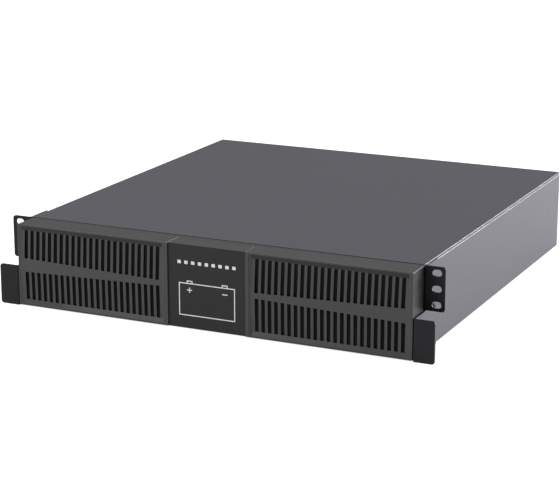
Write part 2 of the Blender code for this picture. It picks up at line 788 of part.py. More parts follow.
def dock_socket(name, side):
    """The chassis's half, held in the bulkhead."""
    body = middle_block((side * DOCK_X, SOCKET_FACE + SOCKET.y / 2, DOCK_Z), SOCKET)
    hollow = middle_block((side * DOCK_X, SOCKET_FACE, DOCK_Z), SOCKET_HOLLOW)
    add(name, cut(body, hollow), "black_plastic")


# ---------------------------------------------------------------- rear bay


def battery_connector(name, x):
    """A flanged two-pole power connector; both sockets open to the rear."""
    back = REAR + REAR_PROUD
    centre_y = back - CONNECTOR.y / 2
    body = middle_block((x, centre_y, CONNECTOR_Z), CONNECTOR)
    flange = middle_block((x, CONNECTOR_FLANGE_BACK, CONNECTOR_Z), CONNECTOR_FLANGE)
    sockets = []
    for way in (-1, 1):
        centre = (x + way * CONNECTOR_POLE, back, CONNECTOR_Z)
        sockets.append(middle_block(centre, CONNECTOR_SOCKET))
    add(name, cut(joined(body, flange), gathered(sockets)), "black_plastic")


def breaker_body():
    back = REAR + BREAKER_PROUD
    body = middle_block((BREAKER_X, back - BREAKER.y / 2, BREAKER_Z), BREAKER)
    slot = middle_block((BREAKER_X, back, BREAKER_Z), BREAKER_SLOT)
    add("breaker_body", cut(body, slot), "black_plastic")


def breaker_lever():
    """The toggle: a round hub with an arm, turned up to its on position."""
    hub = arc((LEVER_PIVOT, BREAKER_Z), LEVER_HUB, 25, 335, LEVER_STEPS)
    tip = LEVER_PIVOT + LEVER_REACH
    arm = [(tip, BREAKER_Z - LEVER_TIP_HALF), (tip, BREAKER_Z + LEVER_TIP_HALF)]
    solid = prism(hub + arm, "X", BREAKER_X - LEVER_HALF_WIDTH, BREAKER_X + LEVER_HALF_WIDTH)
    pivot = (BREAKER_X, LEVER_PIVOT, BREAKER_Z)
    lever = add("breaker_lever", solid, "red_plastic", pivot)
    lever.data.transform(Matrix.Rotation(LEVER_TILT, 4, "X"))


def link_port():
    """Two small data sockets in one housing, for the cable that links modules."""
    back = REAR + PORT_PROUD
    body = middle_block((PORT_X, back - PORT.y / 2, PORT_Z), PORT)
    sockets = []
    for way in (-1, 1):
        centre = (PORT_X + way * PORT_POLE, back, PORT_Z)
        sockets.append(middle_block(centre, PORT_SOCKET))
    add("link_port", cut(body, gathered(sockets)), "black_plastic")


def ground_stud():
    start = REAR_PANEL - GAP
    stud = turned(STUD_PROFILE, (STUD_X, start, STUD_Z), (0, 1, 0))
    add("ground_stud", stud, "zinc_steel", (STUD_X, start, STUD_Z), smooth=True)
    nut = rod((STUD_X, REAR, STUD_Z), (0, 1, 0), NUT_THICK, NUT_RADIUS, steps=6)
    bore = rod((STUD_X, REAR - REACH, STUD_Z), (0, 1, 0), 3 * REACH, STUD_RADIUS + GAP)
    add("ground_nut", cut(nut, bore), "zinc_steel", (STUD_X, REAR, STUD_Z))


def fuse_block():
    """The terminal block on the floor, with an end post for each pole of the two fuses."""
    low, high = FUSE_BLOCK_LOW, FUSE_BLOCK_HIGH
    posts = []
    for x in (-FUSE_X, FUSE_X):
        for y in (low.y + POST_INSET, high.y - POST_INSET):
            root = (x, y, high.z - POST_ROOT)
            posts.append(rod(root, (0, 0, 1), POST_ROOT + POST_RISE, POST_RADIUS))
    add("fuse_block", joined(block(low, high), *posts), "black_plastic")


def fuse(name, x):
    """A strip fuse: a ceramic barrel between two flat ends, on top of its posts."""
    low, high = FUSE_BLOCK_LOW, FUSE_BLOCK_HIGH
    strip = block(
        (x - STRIP_HALF, low.y + STRIP_INSET, STRIP_BASE),
        (x + STRIP_HALF, high.y - STRIP_INSET, STRIP_BASE + STRIP_THICK))
    start = (x, (low.y + high.y - BARREL_LENGTH) / 2, STRIP_BASE + BARREL_RISE)
    barrel = rod(start, (0, 1, 0), BARREL_LENGTH, BARREL_RADIUS)
    add(name, joined(strip, barrel), "ceramic")


def busbar():
    """The copper strap from both fuses' rear posts up to the breaker's lower terminal."""
    low = STRIP_BASE + STRIP_THICK + GAP
    start = FUSE_BLOCK_HIGH.y - STRIP_INSET - BUSBAR_LAP
    turn = REAR + BREAKER_PROUD - BREAKER.y - BUSBAR_CLEARANCE
    outline = [
        (start, low),
        (turn + BUSBAR_THICK, low),
        (turn + BUSBAR_THICK, BUSBAR_TOP),
        (turn, BUSBAR_TOP),
        (turn, low + BUSBAR_THICK),
        (start, low + BUSBAR_THICK),
    ]
    half = FUSE_X + STRIP_HALF
    add("positive_busbar", prism(outline, "X", -half, half), "copper")


def harness(name, side):
    """The lead from a dock socket to the terminal block, clear of the floor."""
    start = (side * DOCK_X, SOCKET_FACE + SOCKET.y + LEAD_GAP, DOCK_Z)
    end_x = side * (FUSE_BLOCK_HIGH.x + LEAD_GAP)
    end_y = (FUSE_BLOCK_LOW.y + FUSE_BLOCK_HIGH.y) / 2
    corners = [
        start,
        (start[0], start[1] + HARNESS_STRAIGHT, DOCK_Z),
        (start[0] - side * HARNESS_SWING, end_y - HARNESS_DROP_BACK, DOCK_Z),
        (end_x + side * HARNESS_ENTRY, end_y, DOCK_Z),
        (end_x, end_y, DOCK_Z),
    ]
    add_tube(name, smooth_route(corners), HARNESS_RADIUS, "cable_black")


def output_lead(name, connector_x, height):
    """The lead from the breaker's side to the inner end of a rear connector."""
    inner_end = REAR + REAR_PROUD - CONNECTOR.y - LEAD_GAP
    side_x = BREAKER_X + BREAKER.x / 2 + LEAD_GAP
    across, along = OUTPUT_FIRST_STEP
    far, near, last = OUTPUT_APPROACH
    corners = [
        (side_x, OUTPUT_START_Y, height),
        (side_x + across, OUTPUT_START_Y + along, height),
        ((side_x + connector_x) / 2, inner_end - far, (height + CONNECTOR_Z) / 2),
        (connector_x, inner_end - near, CONNECTOR_Z),
        (connector_x, inner_end - last, CONNECTOR_Z),
        (connector_x, inner_end, CONNECTOR_Z),
    ]
    add_tube(name, smooth_route(corners), OUTPUT_RADIUS, "cable_red")


# ---------------------------------------------------------------- assembly


def build():
    base_pan()
    top_cover()
    rear_panel()
    front_frame()
    centre_divider()
    rear_bulkhead()
    bezel_bridge()
    centre_panel()
    for label, side in (("left", -1), ("right", 1)):
        rack_bracket(f"rack_bracket_{label}", side)
        for i, (y, z) in enumerate(BRACKET_SCREWS, 1):
            bracket_screw(f"bracket_screw_{label}_{i}", side, y, z)
        bezel_frame(f"bezel_frame_{label}", side)
        grille(f"grille_{label}", side)
        tray(f"tray_{label}", side)
        for row, y in enumerate(BATTERY_ROWS, 1):
            for column, place in enumerate(("inner", "outer")):
                battery(f"battery_{label}_{place}_{row}", side, column, y)
        battery_strap(f"battery_strap_{label}", side)
        tray_handle(f"tray_handle_{label}", side)
        for place, x in zip(("inner", "outer"), THUMB_X):
            thumbscrew(f"thumbscrew_{label}_{place}", side * x)
        series_lead(f"series_lead_{label}", side)
        tray_plug(f"tray_plug_{label}", side)
        dock_socket(f"dock_socket_{label}", side)
        harness(f"harness_{label}", side)
    for i, x in enumerate(CONNECTOR_X, 1):
        battery_connector(f"battery_connector_{i}", x)
        output_lead(f"output_lead_{i}", x, OUTPUT_HEIGHTS[i - 1])
    breaker_body()
    breaker_lever()
    link_port()
    ground_stud()
    fuse_block()
    fuse("fuse_left", -FUSE_X)
    fuse("fuse_right", FUSE_X)
    busbar()


clear_scene()
MATERIALS = make_materials()
build()
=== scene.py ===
import math

import bmesh
import bpy
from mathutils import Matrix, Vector


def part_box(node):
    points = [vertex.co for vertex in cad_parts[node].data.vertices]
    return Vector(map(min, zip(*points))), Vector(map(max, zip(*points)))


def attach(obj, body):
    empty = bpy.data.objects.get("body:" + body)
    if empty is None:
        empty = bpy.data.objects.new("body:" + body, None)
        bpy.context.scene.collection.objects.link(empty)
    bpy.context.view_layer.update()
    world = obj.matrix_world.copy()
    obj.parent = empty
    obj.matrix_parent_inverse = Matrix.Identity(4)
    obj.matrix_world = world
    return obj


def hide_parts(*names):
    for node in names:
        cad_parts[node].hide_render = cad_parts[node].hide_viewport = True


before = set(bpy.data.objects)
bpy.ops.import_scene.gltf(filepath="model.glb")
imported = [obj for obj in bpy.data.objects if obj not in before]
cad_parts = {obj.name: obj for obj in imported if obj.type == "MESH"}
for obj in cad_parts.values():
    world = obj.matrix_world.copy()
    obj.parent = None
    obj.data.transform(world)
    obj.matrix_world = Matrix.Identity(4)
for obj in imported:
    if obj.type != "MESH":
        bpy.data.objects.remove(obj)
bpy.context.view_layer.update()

# Lengths are in metres.

X, Y, Z = 0, 1, 2
NEAR = 0.0001  # how close two places count as one
CLEAR = 0.004  # how far a cutter reaches past what it cuts
GAP = 0.0003  # the CAD's gap between neighbouring nodes
SHARP = math.radians(24)  # an edge that bends more than this is softened

# Places, read from the frame
BEZEL_MIN, BEZEL_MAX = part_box("bezel_frame_right")
RECESS_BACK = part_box("bezel_bridge")[0].y
PANEL_MIN, PANEL_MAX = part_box("centre_panel")
GRILLE_MIN, GRILLE_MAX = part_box("grille_right")
BRACKET_MIN, BRACKET_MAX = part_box("rack_bracket_right")
PAN_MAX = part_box("base_pan")[1]
COVER_MIN, COVER_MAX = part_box("top_cover")
REAR_PLATE_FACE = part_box("rear_panel")[1].y
FRONT = BEZEL_MIN.y
REAR = PAN_MAX.y
HALF = PAN_MAX.x
MIDDLE_Z = (BEZEL_MIN.z + BEZEL_MAX.z) / 2

# Camera, at the photograph's viewing angle
CAMERA_AZIMUTH = math.radians(25.080)
CAMERA_ELEVATION = math.radians(15.261)
CAMERA_LENS = 118.341
CAMERA_DISTANCE = 2.05404
CAMERA_TARGET = Vector((-0.03178, 0.0, 0.01947))

# Bezel
PANEL_EDGE = BEZEL_MIN.x
BEZEL_WALL = 0.0024
BEZEL_FACE = 0.0030
LUG_PLACES = (0.075, 0.145, 0.205)
LUG_HALF_WIDTH = 0.006
# A snap lug's outline: distance in front of the rear edge, height above the wall
LUG_OUTLINE = ((0.0060, -0.0008), (0.0060, 0.0002), (0.0022, 0.0014), (0.0008, 0.0014),
               (0.0003, 0.0002), (0.0003, -0.0008))

# Grille
SLOTS = 23
SLOT_WIDTH = 0.0041
FIRST_SLOT = 0.2092
LAST_SLOT = 0.0551
SLOT_MARGIN = 0.0022
BAR_HALF_OUTER = 0.0074
BAR_HALF_INNER = 0.0026
FACET_LEAN = 0.052
BAR_SET_BACK = 0.0002
BAR_SET_BACK_INNER = 0.0003
LIP = 0.0014
GRILLE_IN = GRILLE_MIN.x - GAP
GRILLE_OUT = HALF - LIP
GRILLE_FIT = 0.00008  # play between the insert and its window
WINDOW_LOW = BEZEL_MIN.z + LIP
WINDOW_HIGH = BEZEL_MAX.z - LIP
LOUVRE_THICK = 0.0010
MARGIN_SLOPE = 0.0026
RIM_SET_BACK = 0.0001
# The dark sheet behind each grille: painted shade for the dark inside the bezel
SHADE_SHEET_THICK = 0.0020
SHADE_SHEET_INSET = 0.0012

# Print: boxes are left, low, right, high
PRINT_LINE = 0.0010
OUTLINE = (-0.0311, 0.0140, 0.0314, 0.0480)
POLE_STARTS = (-0.0222, 0.0169)
POLE_WIDTH = 0.0065
POLE_HIGH = 0.0015
SIGNS = ((-0.0219, 0.0402, -0.0163, 0.0412), (-0.0196, 0.0412, -0.0186, 0.0434),
         (-0.0196, 0.0380, -0.0186, 0.0402), (0.0173, 0.0402, 0.0231, 0.0412))
MARKS = 9
MARK_PITCH = 0.0076
MARK_HALF = 0.0019
MARK_LOW = 0.0674
MARK_HIGH = 0.0708

# Rack brackets
SHEET = 0.0018
BEND_INSIDE = 0.0005
CORNER = 0.0030
EAR_FACE = FRONT + 0.0270
EAR_ROOT = EAR_FACE + 0.0030
EAR_EDGE = 0.2413
EAR_BOTTOM = 0.0440
PLATE_TOP = {"left": BRACKET_MAX.z - 0.0001, "right": BRACKET_MAX.z - 0.0014}
TAB_TOP = 0.0426
SLOT_PITCH = 0.015875
SLOT_TOP = BRACKET_MAX.z - 0.00635
SLOT_CENTRE = 0.23275
SLOT_LENGTH = 0.0097
SLOT_HEIGHT = 0.0068
BRACKET_SCREW_HOLE = 0.0019

# Batteries and trays
TAB_OUT = 0.0050
LID_DEEP = 0.0120
CASE_RIB = 0.0005
LID_INSET = 0.0006
TAB_BESIDE = 0.014
TAB_HEIGHTS = ((-0.020, "black"), (0.020, "red"))
SERIES_RADIUS = 0.0019
# The series lead's route: distance behind a battery's front, row, rise above the middle
SERIES_ROUTE = ((0.012, 0, 0.020), (0.040, 0, 0.018), (0.090, 0, 0.004),
                (-0.020, 1, -0.006), (0.016, 1, -0.020))
HANDLE_BEND = 0.008
GRIP_RINGS = 29
KNURL_TEETH = 36

# Rear bay
LEAD_GAP = 0.0010
HARNESS_RADIUS = 0.0040
OUTPUT_RADIUS = 0.0035
PANEL_SCREWS_X = (-0.205, -0.070, 0.052, 0.205)
PANEL_SCREWS_Z = (0.0085, 0.0765)
STUD_RADIUS = 0.0025
THREAD_PITCH = 0.0008
NUT_RADIUS = 0.0046
FUSE_AXIS = 0.0032  # height of a fuse's axis above the block


# ---- node helpers


def feed(tree, socket, value):
    """Links a socket to the one that feeds it, or sets it to a value."""
    if isinstance(value, bpy.types.NodeSocket):
        tree.links.new(value, socket)
    else:
        socket.default_value = value


def node(tree, kind, settings=None, **inputs):
    """Adds a shader node; an input is a value, or the socket that feeds it."""
    made = tree.nodes.new(kind)
    for key, value in (settings or {}).items():
        setattr(made, key, value)
    for key, value in inputs.items():
        feed(tree, made.inputs[key.replace("_", " ")], value)
    return made


def noise(tree, where, size, detail=3.0, roughness=0.55):
    """A noise of the given grain size in metres."""
    return node(tree, "ShaderNodeTexNoise", None, Vector=where, Scale=1.0 / size, Detail=detail,
                Roughness=roughness).outputs["Fac"]


def ranged(tree, value, low, high, start, end):
    """Maps low to high onto start to end, and holds it there outside."""
    made = node(tree, "ShaderNodeMapRange", None, Value=value, From_Min=low, From_Max=high,
                To_Min=start, To_Max=end)
    return made.outputs["Result"]


def scaled(tree, a, b, operation="MULTIPLY"):
    made = node(tree, "ShaderNodeMath", {"operation": operation})
    feed(tree, made.inputs[0], a)
    feed(tree, made.inputs[1], b)
    return made.outputs[0]


def blended(tree, factor, a, b):
    """Mixes two colours, each a socket or three numbers."""
    made = node(tree, "ShaderNodeMix", {"data_type": "RGBA"})
    tree.links.new(factor, made.inputs[0])
    for socket, value in ((made.inputs[6], a), (made.inputs[7], b)):
        feed(tree, socket, (*value, 1.0) if isinstance(value, tuple) else value)
    return made.outputs[2]


def shade(colour, factor):
    return tuple(min(1.0, channel * factor) for channel in colour)


def finish_look(name, colour, roughness, metallic, specular, cloud, grain, relief, scuff_and_highlight_colour, scuff_and_highlight_amount,
                brushed=None, coat=0.0, uneven=0.055, least_scuff_and_highlight=0.15):
    """A painted, moulded or plated surface: clouded colour, uneven gloss, fine grain, and edges
    lightened by scuffing and by painted highlight.

    cloud is how far the colour drifts, grain and relief are the grain's width and height, worn
    is the colour of the edge marks, which stand for scuffing and painted highlight, and rub is how
    much of it shows.
    """
    look = bpy.data.materials.new(name)
    look.use_nodes = True
    tree = look.node_tree
    shader = tree.nodes["Principled BSDF"]
    where = node(tree, "ShaderNodeTexCoord").outputs["Object"]
    broad = noise(tree, where, 0.060, 4.0)
    spots = noise(tree, where, 0.0070, 5.0, 0.6)
    if brushed:
        mapping = node(tree, "ShaderNodeMapping", None, Vector=where, Scale=brushed)
        fine = noise(tree, mapping.outputs["Vector"], grain, 3.0)
    else:
        fine = noise(tree, where, grain, 2.0)
    drift = ranged(tree, broad, 0.30, 0.70, 0.0, 1.0)
    speckle = ranged(tree, fine, 0.35, 0.75, 0.0, 0.35)
    tint = blended(tree, drift, shade(colour, 1 - cloud), shade(colour, 1 + cloud))
    tint = blended(tree, speckle, tint, shade(colour, 1 + 2 * cloud))
    edge = node(tree, "ShaderNodeAttribute", {"attribute_name": "scuff_and_highlight"}).outputs["Fac"]
    # The edge marks lighten the colour: partly scuffing, partly painted highlight on chosen edges.
    scuff_and_highlight_mix = scaled(tree, edge, ranged(tree, spots, 0.42, 0.62, least_scuff_and_highlight, 1.0))
    scuff_and_highlight_mix = scaled(tree, scuff_and_highlight_mix, scuff_and_highlight_amount)
    tint = blended(tree, scuff_and_highlight_mix, tint, scuff_and_highlight_colour or shade(colour, 1.8))
    gloss = ranged(tree, spots, 0.30, 0.75, roughness - uneven, roughness + uneven)
    gloss = scaled(tree, gloss, scaled(tree, edge, 0.10), "SUBTRACT")
    bump = node(tree, "ShaderNodeBump", None, Strength=0.6, Distance=relief, Height=fine)
    tree.links.new(tint, shader.inputs["Base Color"])
    tree.links.new(gloss, shader.inputs["Roughness"])
    tree.links.new(bump.outputs["Normal"], shader.inputs["Normal"])
    shader.inputs["Metallic"].default_value = metallic
    shader.inputs["Specular IOR Level"].default_value = specular
    shader.inputs["Coat Weight"].default_value = coat
    look.diffuse_color = (*colour, 1.0)
    return look


# Each look: its material's name, colour, roughness, metallic, specular, cloud, grain, relief,
# edge colour and its amount (scuffing and painted highlight), and whichever of finish_look's other
# values it changes
DRAWN = {"brushed": (1.0, 0.06, 1.0)}
FINISHES = {
    # The chassis paint's near-white edge colour is mostly painted highlight: bright lines along
    # the folds and steps.
    "chassis_paint": (
        "chassis_powder_coat", (0.038, 0.0364, 0.0450), 0.42, 0.0, 0.5, 0.020, 0.0005, 0.000004,
        (0.62, 0.61, 0.66), 0.62, {"uneven": 0.015, "least_scuff_and_highlight": 0.7}),
    "bracket_paint": (
        "bracket_powder_coat", (0.0042, 0.0042, 0.0056), 0.50, 0.0, 0.21, 0.08, 0.0005, 0.000012,
        (0.06, 0.06, 0.066), 0.45, {}),
    # The bezel's light edge colour is partly scuffing, partly painted highlight on its rims and
    # ridges.
    "bezel_plastic": (
        "bezel_textured_plastic", (0.029, 0.029, 0.0285), 0.55, 0.0, 0.4, 0.05, 0.00035, 0.000020,
        (0.22, 0.22, 0.218), 0.34, {"least_scuff_and_highlight": 0.5}),
    "panel_plastic": (
        "panel_satin_plastic", (0.0095, 0.0095, 0.0095), 0.50, 0.0, 0.25, 0.05, 0.0003, 0.000008,
        (0.075, 0.075, 0.075), 0.40, {}),
    "zinc_steel": (
        "zinc_plated_steel", (0.44, 0.45, 0.46), 0.48, 1.0, 0.5, 0.07, 0.0012, 0.000006,
        (0.72, 0.73, 0.74), 0.6, DRAWN),
    "black_screw": (
        "black_oxide_screw", (0.016, 0.016, 0.018), 0.52, 0.5, 0.4, 0.10, 0.0004, 0.000006,
        (0.10, 0.10, 0.10), 0.4, {}),
    "battery_case": (
        "battery_case_plastic", (0.036, 0.037, 0.040), 0.50, 0.0, 0.45, 0.07, 0.0005, 0.000016,
        (0.09, 0.09, 0.095), 0.45, {}),
    "black_plastic": (
        "black_moulded_plastic", (0.016, 0.016, 0.018), 0.42, 0.0, 0.45, 0.08, 0.0004, 0.000010,
        (0.055, 0.055, 0.058), 0.45, {}),
    "red_plastic": (
        "red_moulded_plastic", (0.42, 0.020, 0.018), 0.38, 0.0, 0.5, 0.06, 0.0004, 0.000008,
        (0.60, 0.09, 0.07), 0.45, {}),
    "copper": (
        "copper_strap", (0.72, 0.38, 0.22), 0.30, 1.0, 0.5, 0.12, 0.0010, 0.000006,
        (0.86, 0.52, 0.34), 0.6, DRAWN),
    "ceramic": (
        "glazed_ceramic", (0.72, 0.70, 0.66), 0.28, 0.0, 0.5, 0.04, 0.0008, 0.000004,
        (0.80, 0.78, 0.74), 0.3, {"coat": 0.4}),
    "cable_red": (
        "red_cable_insulation", (0.36, 0.020, 0.018), 0.46, 0.0, 0.45, 0.07, 0.0006, 0.000010,
        None, 0.5, {}),
    "cable_black": (
        "black_cable_insulation", (0.018, 0.018, 0.020), 0.46, 0.0, 0.45, 0.08, 0.0006, 0.000010,
        None, 0.5, {}),
    "handle_black": (
        "dipped_handle_grip", (0.020, 0.020, 0.022), 0.62, 0.0, 0.4, 0.08, 0.0005, 0.000020,
        None, 0.5, {}),
    "print": (
        "light_grey_print", (0.53, 0.53, 0.52), 0.55, 0.0, 0.3, 0.05, 0.0004, 0.000004,
        (0.50, 0.50, 0.49), 0.4, {}),
    # A darker copy of the bezel plastic: painted shade for the louvres' slot walls and downward
    # faces.
    "recess_plastic": (
        "bezel_recess_plastic", (0.014, 0.014, 0.0138), 0.60, 0.0, 0.25, 0.05, 0.00035, 0.000020,
        (0.05, 0.05, 0.05), 0.34, {}),
    # Near-black sheet behind the grilles: painted shade seen through the slots.
    "filter_foam": (
        "open_cell_filter_foam", (0.010, 0.010, 0.010), 0.95, 0.0, 0.1, 0.25, 0.0009, 0.00012,
        (0.020, 0.020, 0.020), 0.2, {}),
    "brass": (
        "plated_contact", (0.78, 0.62, 0.30), 0.26, 1.0, 0.5, 0.06, 0.0006, 0.000004,
        (0.90, 0.76, 0.44), 0.5, {}),
}


# ---- mesh helpers


def prism(outline, axis, start, end):
    """A closed solid: a 2-D outline swept along X, Y or Z."""
    place = {
        "X": lambda a, b, c: (c, a, b),
        "Y": lambda a, b, c: (a, c, b),
        "Z": lambda a, b, c: (a, b, c),
    }[axis]
    solid = bmesh.new()
    first = [solid.verts.new(place(a, b, start)) for a, b in outline]
    last = [solid.verts.new(place(a, b, end)) for a, b in outline]
    solid.faces.new(first)
    solid.faces.new(list(reversed(last)))
    for i in range(len(outline)):
        j = (i + 1) % len(outline)
        solid.faces.new((first[i], last[i], last[j], first[j]))
    bmesh.ops.recalc_face_normals(solid, faces=solid.faces)
    return solid


def block(low, high):
    outline = [(low[0], low[1]), (high[0], low[1]), (high[0], high[1]), (low[0], high[1])]
    return prism(outline, "Z", low[2], high[2])


def middle_block(centre, size):
    half = Vector(size) / 2
    return block(Vector(centre) - half, Vector(centre) + half)


def lofted(rings):
    """A closed solid through rings of points, with a flat face at each end."""
    solid = bmesh.new()
    loops = [[solid.verts.new(point) for point in ring] for ring in rings]
    for lower, upper in zip(loops, loops[1:]):
        for i in range(len(lower)):
            j = (i + 1) % len(lower)
            solid.faces.new((lower[i], lower[j], upper[j], upper[i]))
    solid.faces.new(loops[0])
    solid.faces.new(loops[-1])
    bmesh.ops.recalc_face_normals(solid, faces=solid.faces)
    return solid


def turned(profile, base, axis, steps=32):
    """A solid of revolution; profile holds (distance along the axis, radius) pairs."""
    turn = Vector((0, 0, 1)).rotation_difference(Vector(axis)).to_matrix()
    rings = []
    for along, radius in profile:
        ring = []
        for step in range(steps):
            angle = 2 * math.pi * (step + 0.5) / steps
            point = Vector((radius * math.cos(angle), radius * math.sin(angle), along))
            ring.append(Vector(base) + turn @ point)
        rings.append(ring)
    return lofted(rings)


def rod(base, axis, length, radius, steps=24):
    return turned(((0, radius), (length, radius)), base, axis, steps)


def tube(points, radius, sides=20, swell=None):
    """A round bar or lead along its points; swell gives the radius's factor at each point."""
    points = [Vector(point) for point in points]
    across = None
    rings = []
    for i, point in enumerate(points):
        ahead = points[min(i + 1, len(points) - 1)] - points[max(i - 1, 0)]
        ahead.normalize()
        if across is None:
            across = ahead.orthogonal().normalized()
        across = (across - ahead * across.dot(ahead)).normalized()
        beside = ahead.cross(across)
        size = radius * (swell[i] if swell else 1.0)
        ring = []
        for step in range(sides):
            angle = 2 * math.pi * step / sides
            ring.append(point + size * (math.cos(angle) * across + math.sin(angle) * beside))
        rings.append(ring)
    return lofted(rings)


def smooth_route(corners, steps=8):
    """A Catmull-Rom curve through the corners of a lead's route."""
    corners = [Vector(corner) for corner in corners]
    ends = [2 * corners[0] - corners[1], *corners, 2 * corners[-1] - corners[-2]]
    points = []
    for a, b, c, d in zip(ends, ends[1:], ends[2:], ends[3:]):
        for i in range(steps):
            t = i / steps
            points.append(
                0.5 * (2 * b + (c - a) * t + (2 * a - 5 * b + 4 * c - d) * t**2
                       + (3 * b - a - 3 * c + d) * t**3))
    points.append(corners[-1])
    return points


def arc(centre, radius, start, end, steps):
    """Points on an arc, both ends included; angles in degrees."""
    points = []
    for i in range(steps + 1):
        angle = math.radians(start + (end - start) * i / steps)
        points.append((centre[0] + radius * math.cos(angle), centre[1] + radius * math.sin(angle)))
    return points


def stadium(centre, length, height, steps=10):
    """The outline of a slot with round ends, longest along its first axis."""
    radius = height / 2
    reach = length / 2 - radius
    right = arc((centre[0] + reach, centre[1]), radius, -90, 90, steps)
    left = arc((centre[0] - reach, centre[1]), radius, 90, 270, steps)
    return right + left


def rounded(low, high, radius, steps=4):
    """A rectangle's outline with round corners."""
    left, bottom = low[0] + radius, low[1] + radius
    right, top = high[0] - radius, high[1] - radius
    outline = []
    for i, centre in enumerate(((right, bottom), (right, top), (left, top), (left, bottom))):
        outline += arc(centre, radius, 90 * i - 90, 90 * i, steps)
    return outline


def flipped(outline, side):
    return [(side * a, b) for a, b in outline]


def centred_row(count, pitch):
    """The places of a row's items, on both sides of zero."""
    return [(i - (count - 1) / 2) * pitch for i in range(count)]


def added(name, solid):
    """A new object of a finished solid, in the scene."""
    mesh = bpy.data.meshes.new(name)
    solid.to_mesh(mesh)
    solid.free()
    return placed(name, mesh)


def placed(name, data):
    made = bpy.data.objects.new(name, data)
    bpy.context.scene.collection.objects.link(made)
    return made


def gathered(solids):
    """Several solids that don't touch, in one bmesh."""
    whole = bmesh.new()
    for solid in solids:
        held = bpy.data.meshes.new("held")
        solid.to_mesh(held)
        solid.free()
        whole.from_mesh(held)
        bpy.data.meshes.remove(held)
    return whole


def boolean(body, others, operation):
    """The body joined with, cut by, or limited to each of the others in turn."""
    helpers = []
    for i, solid in enumerate([body, *others]):
        helper = added("helper", solid)
        helpers.append(helper)
        if i > 0:
            modifier = helpers[0].modifiers.new("step", "BOOLEAN")
            modifier.operation = operation
            modifier.object = helper
    bpy.context.view_layer.update()
    evaluated = helpers[0].evaluated_get(bpy.context.evaluated_depsgraph_get())
    result = bmesh.new()
    result.from_mesh(evaluated.to_mesh())
    evaluated.to_mesh_clear()
    for helper in helpers:
        mesh = helper.data
        bpy.data.objects.remove(helper, do_unlink=True)
        bpy.data.meshes.remove(mesh)
    return result


def joined(body, *others):
    return boolean(body, others, "UNION")


def cut(body, *others):
    return boolean(body, others, "DIFFERENCE")


def within(body, other):
    return boolean(body, [other], "INTERSECT")


def cad_solid(name):
    """A CAD node's solid with its flat faces whole again."""
    solid = bmesh.new()
    solid.from_mesh(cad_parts[name].data)
    bmesh.ops.remove_doubles(solid, verts=solid.verts, dist=0.000001)
    bmesh.ops.dissolve_limit(
        solid, angle_limit=math.radians(0.5), verts=solid.verts, edges=solid.edges)
    return solid


def soften(solid, width, segments=2, chosen=None, scuff_and_highlight=1.0):
    """Rounds the sharp edges and marks the new faces, where the finish shows scuffing and painted
    highlight.
    """
    bmesh.ops.remove_doubles(solid, verts=solid.verts, dist=0.000002)
    marks = solid.faces.layers.float.get("scuff_and_highlight") or solid.faces.layers.float.new("scuff_and_highlight")
    edges = [edge for edge in solid.edges
             if len(edge.link_faces) == 2 and edge.calc_face_angle(0) > SHARP
             and (chosen is None or chosen(edge))]
    made = bmesh.ops.bevel(
        solid, geom=edges, offset=width, offset_type="OFFSET", segments=segments, profile=0.5,
        affect="EDGES", clamp_overlap=True, miter_outer="SHARP", miter_inner="SHARP")
    for face in made["faces"]:
        face[marks] = scuff_and_highlight
    return solid


def make(name, solid, body, slot, replaces=(), look=None, sharp=None):
    """Puts a finished solid in the scene as one piece of a body."""
    piece = added(name, solid)
    piece.data.materials.append(LOOKS[look or slot])
    piece.data.shade_smooth()
    if sharp:
        piece.data.set_sharp_from_angle(angle=math.radians(sharp))
    else:
        modifier = piece.modifiers.new("flat faces", "WEIGHTED_NORMAL")
        modifier.keep_sharp = True
    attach(piece, body)
    if replaces:
        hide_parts(*replaces)
    return piece


def finished_cad(name, body, slot, width, segments=2):
    """A CAD node's own solid with softened edges, in its place."""
    solid = soften(cad_solid(name), width, segments, scuff_and_highlight=0.5)
    make(name + "_finished", solid, body, slot, [name])


def cross_recess(centre, axis_index, size, depth):
    """Two crossed bars that cut a cross recess into a screw's head."""
    bars = []
    others = [i for i in range(3) if i != axis_index]
    for wide, narrow in (others, reversed(others)):
        extent = [0.0, 0.0, 0.0]
        extent[axis_index] = depth
        extent[wide] = size
        extent[narrow] = size * 0.26
        bars.append(middle_block(centre, extent))
    return joined(*bars)


def screw_head(base, axis, radius, height):
    """A pan-headed screw's head with a cross recess."""
    profile = [(-0.0010, radius * 0.5), (0, radius * 0.5), (0, radius), (height * 0.45, radius)]
    profile += [(height * 0.8, radius * 0.84), (height, radius * 0.55)]
    head = turned(profile, base, axis, 24)
    across = [i for i in range(3) if abs(axis[i]) > 0.5][0]
    tip = Vector(base) + Vector(axis) * height
    head = cut(head, cross_recess(tip, across, radius * 1.1, height * 0.9))
    return soften(head, radius * 0.03, 1, scuff_and_highlight=0.6)


def contact_bars(centre, count, pitch, size):
    """A row of flat contacts along X."""
    return gathered(
        [middle_block(Vector(centre) + Vector((x, 0.0, 0.0)), size)
         for x in centred_row(count, pitch)])


def at(edge, axis, place):
    """Whether both ends of an edge lie at a place on an axis; on X, to either side."""
    ends = [vertex.co[axis] for vertex in edge.verts]
    return all(abs((abs(end) if axis == X else end) - place) < NEAR for end in ends)


def span(edge, axis):
    """How far an edge runs along an axis."""
    a, b = edge.verts
    return abs(a.co[axis] - b.co[axis])


# ---- bezel


def bezel_rim(edge):
    """The bezel's outer edges, round its front and along its corners."""
    outside = at(edge, X, HALF) + at(edge, Z, BEZEL_MAX.z) + at(edge, Z, BEZEL_MIN.z)
    return outside > 0 and (at(edge, Y, FRONT) or outside > 1)


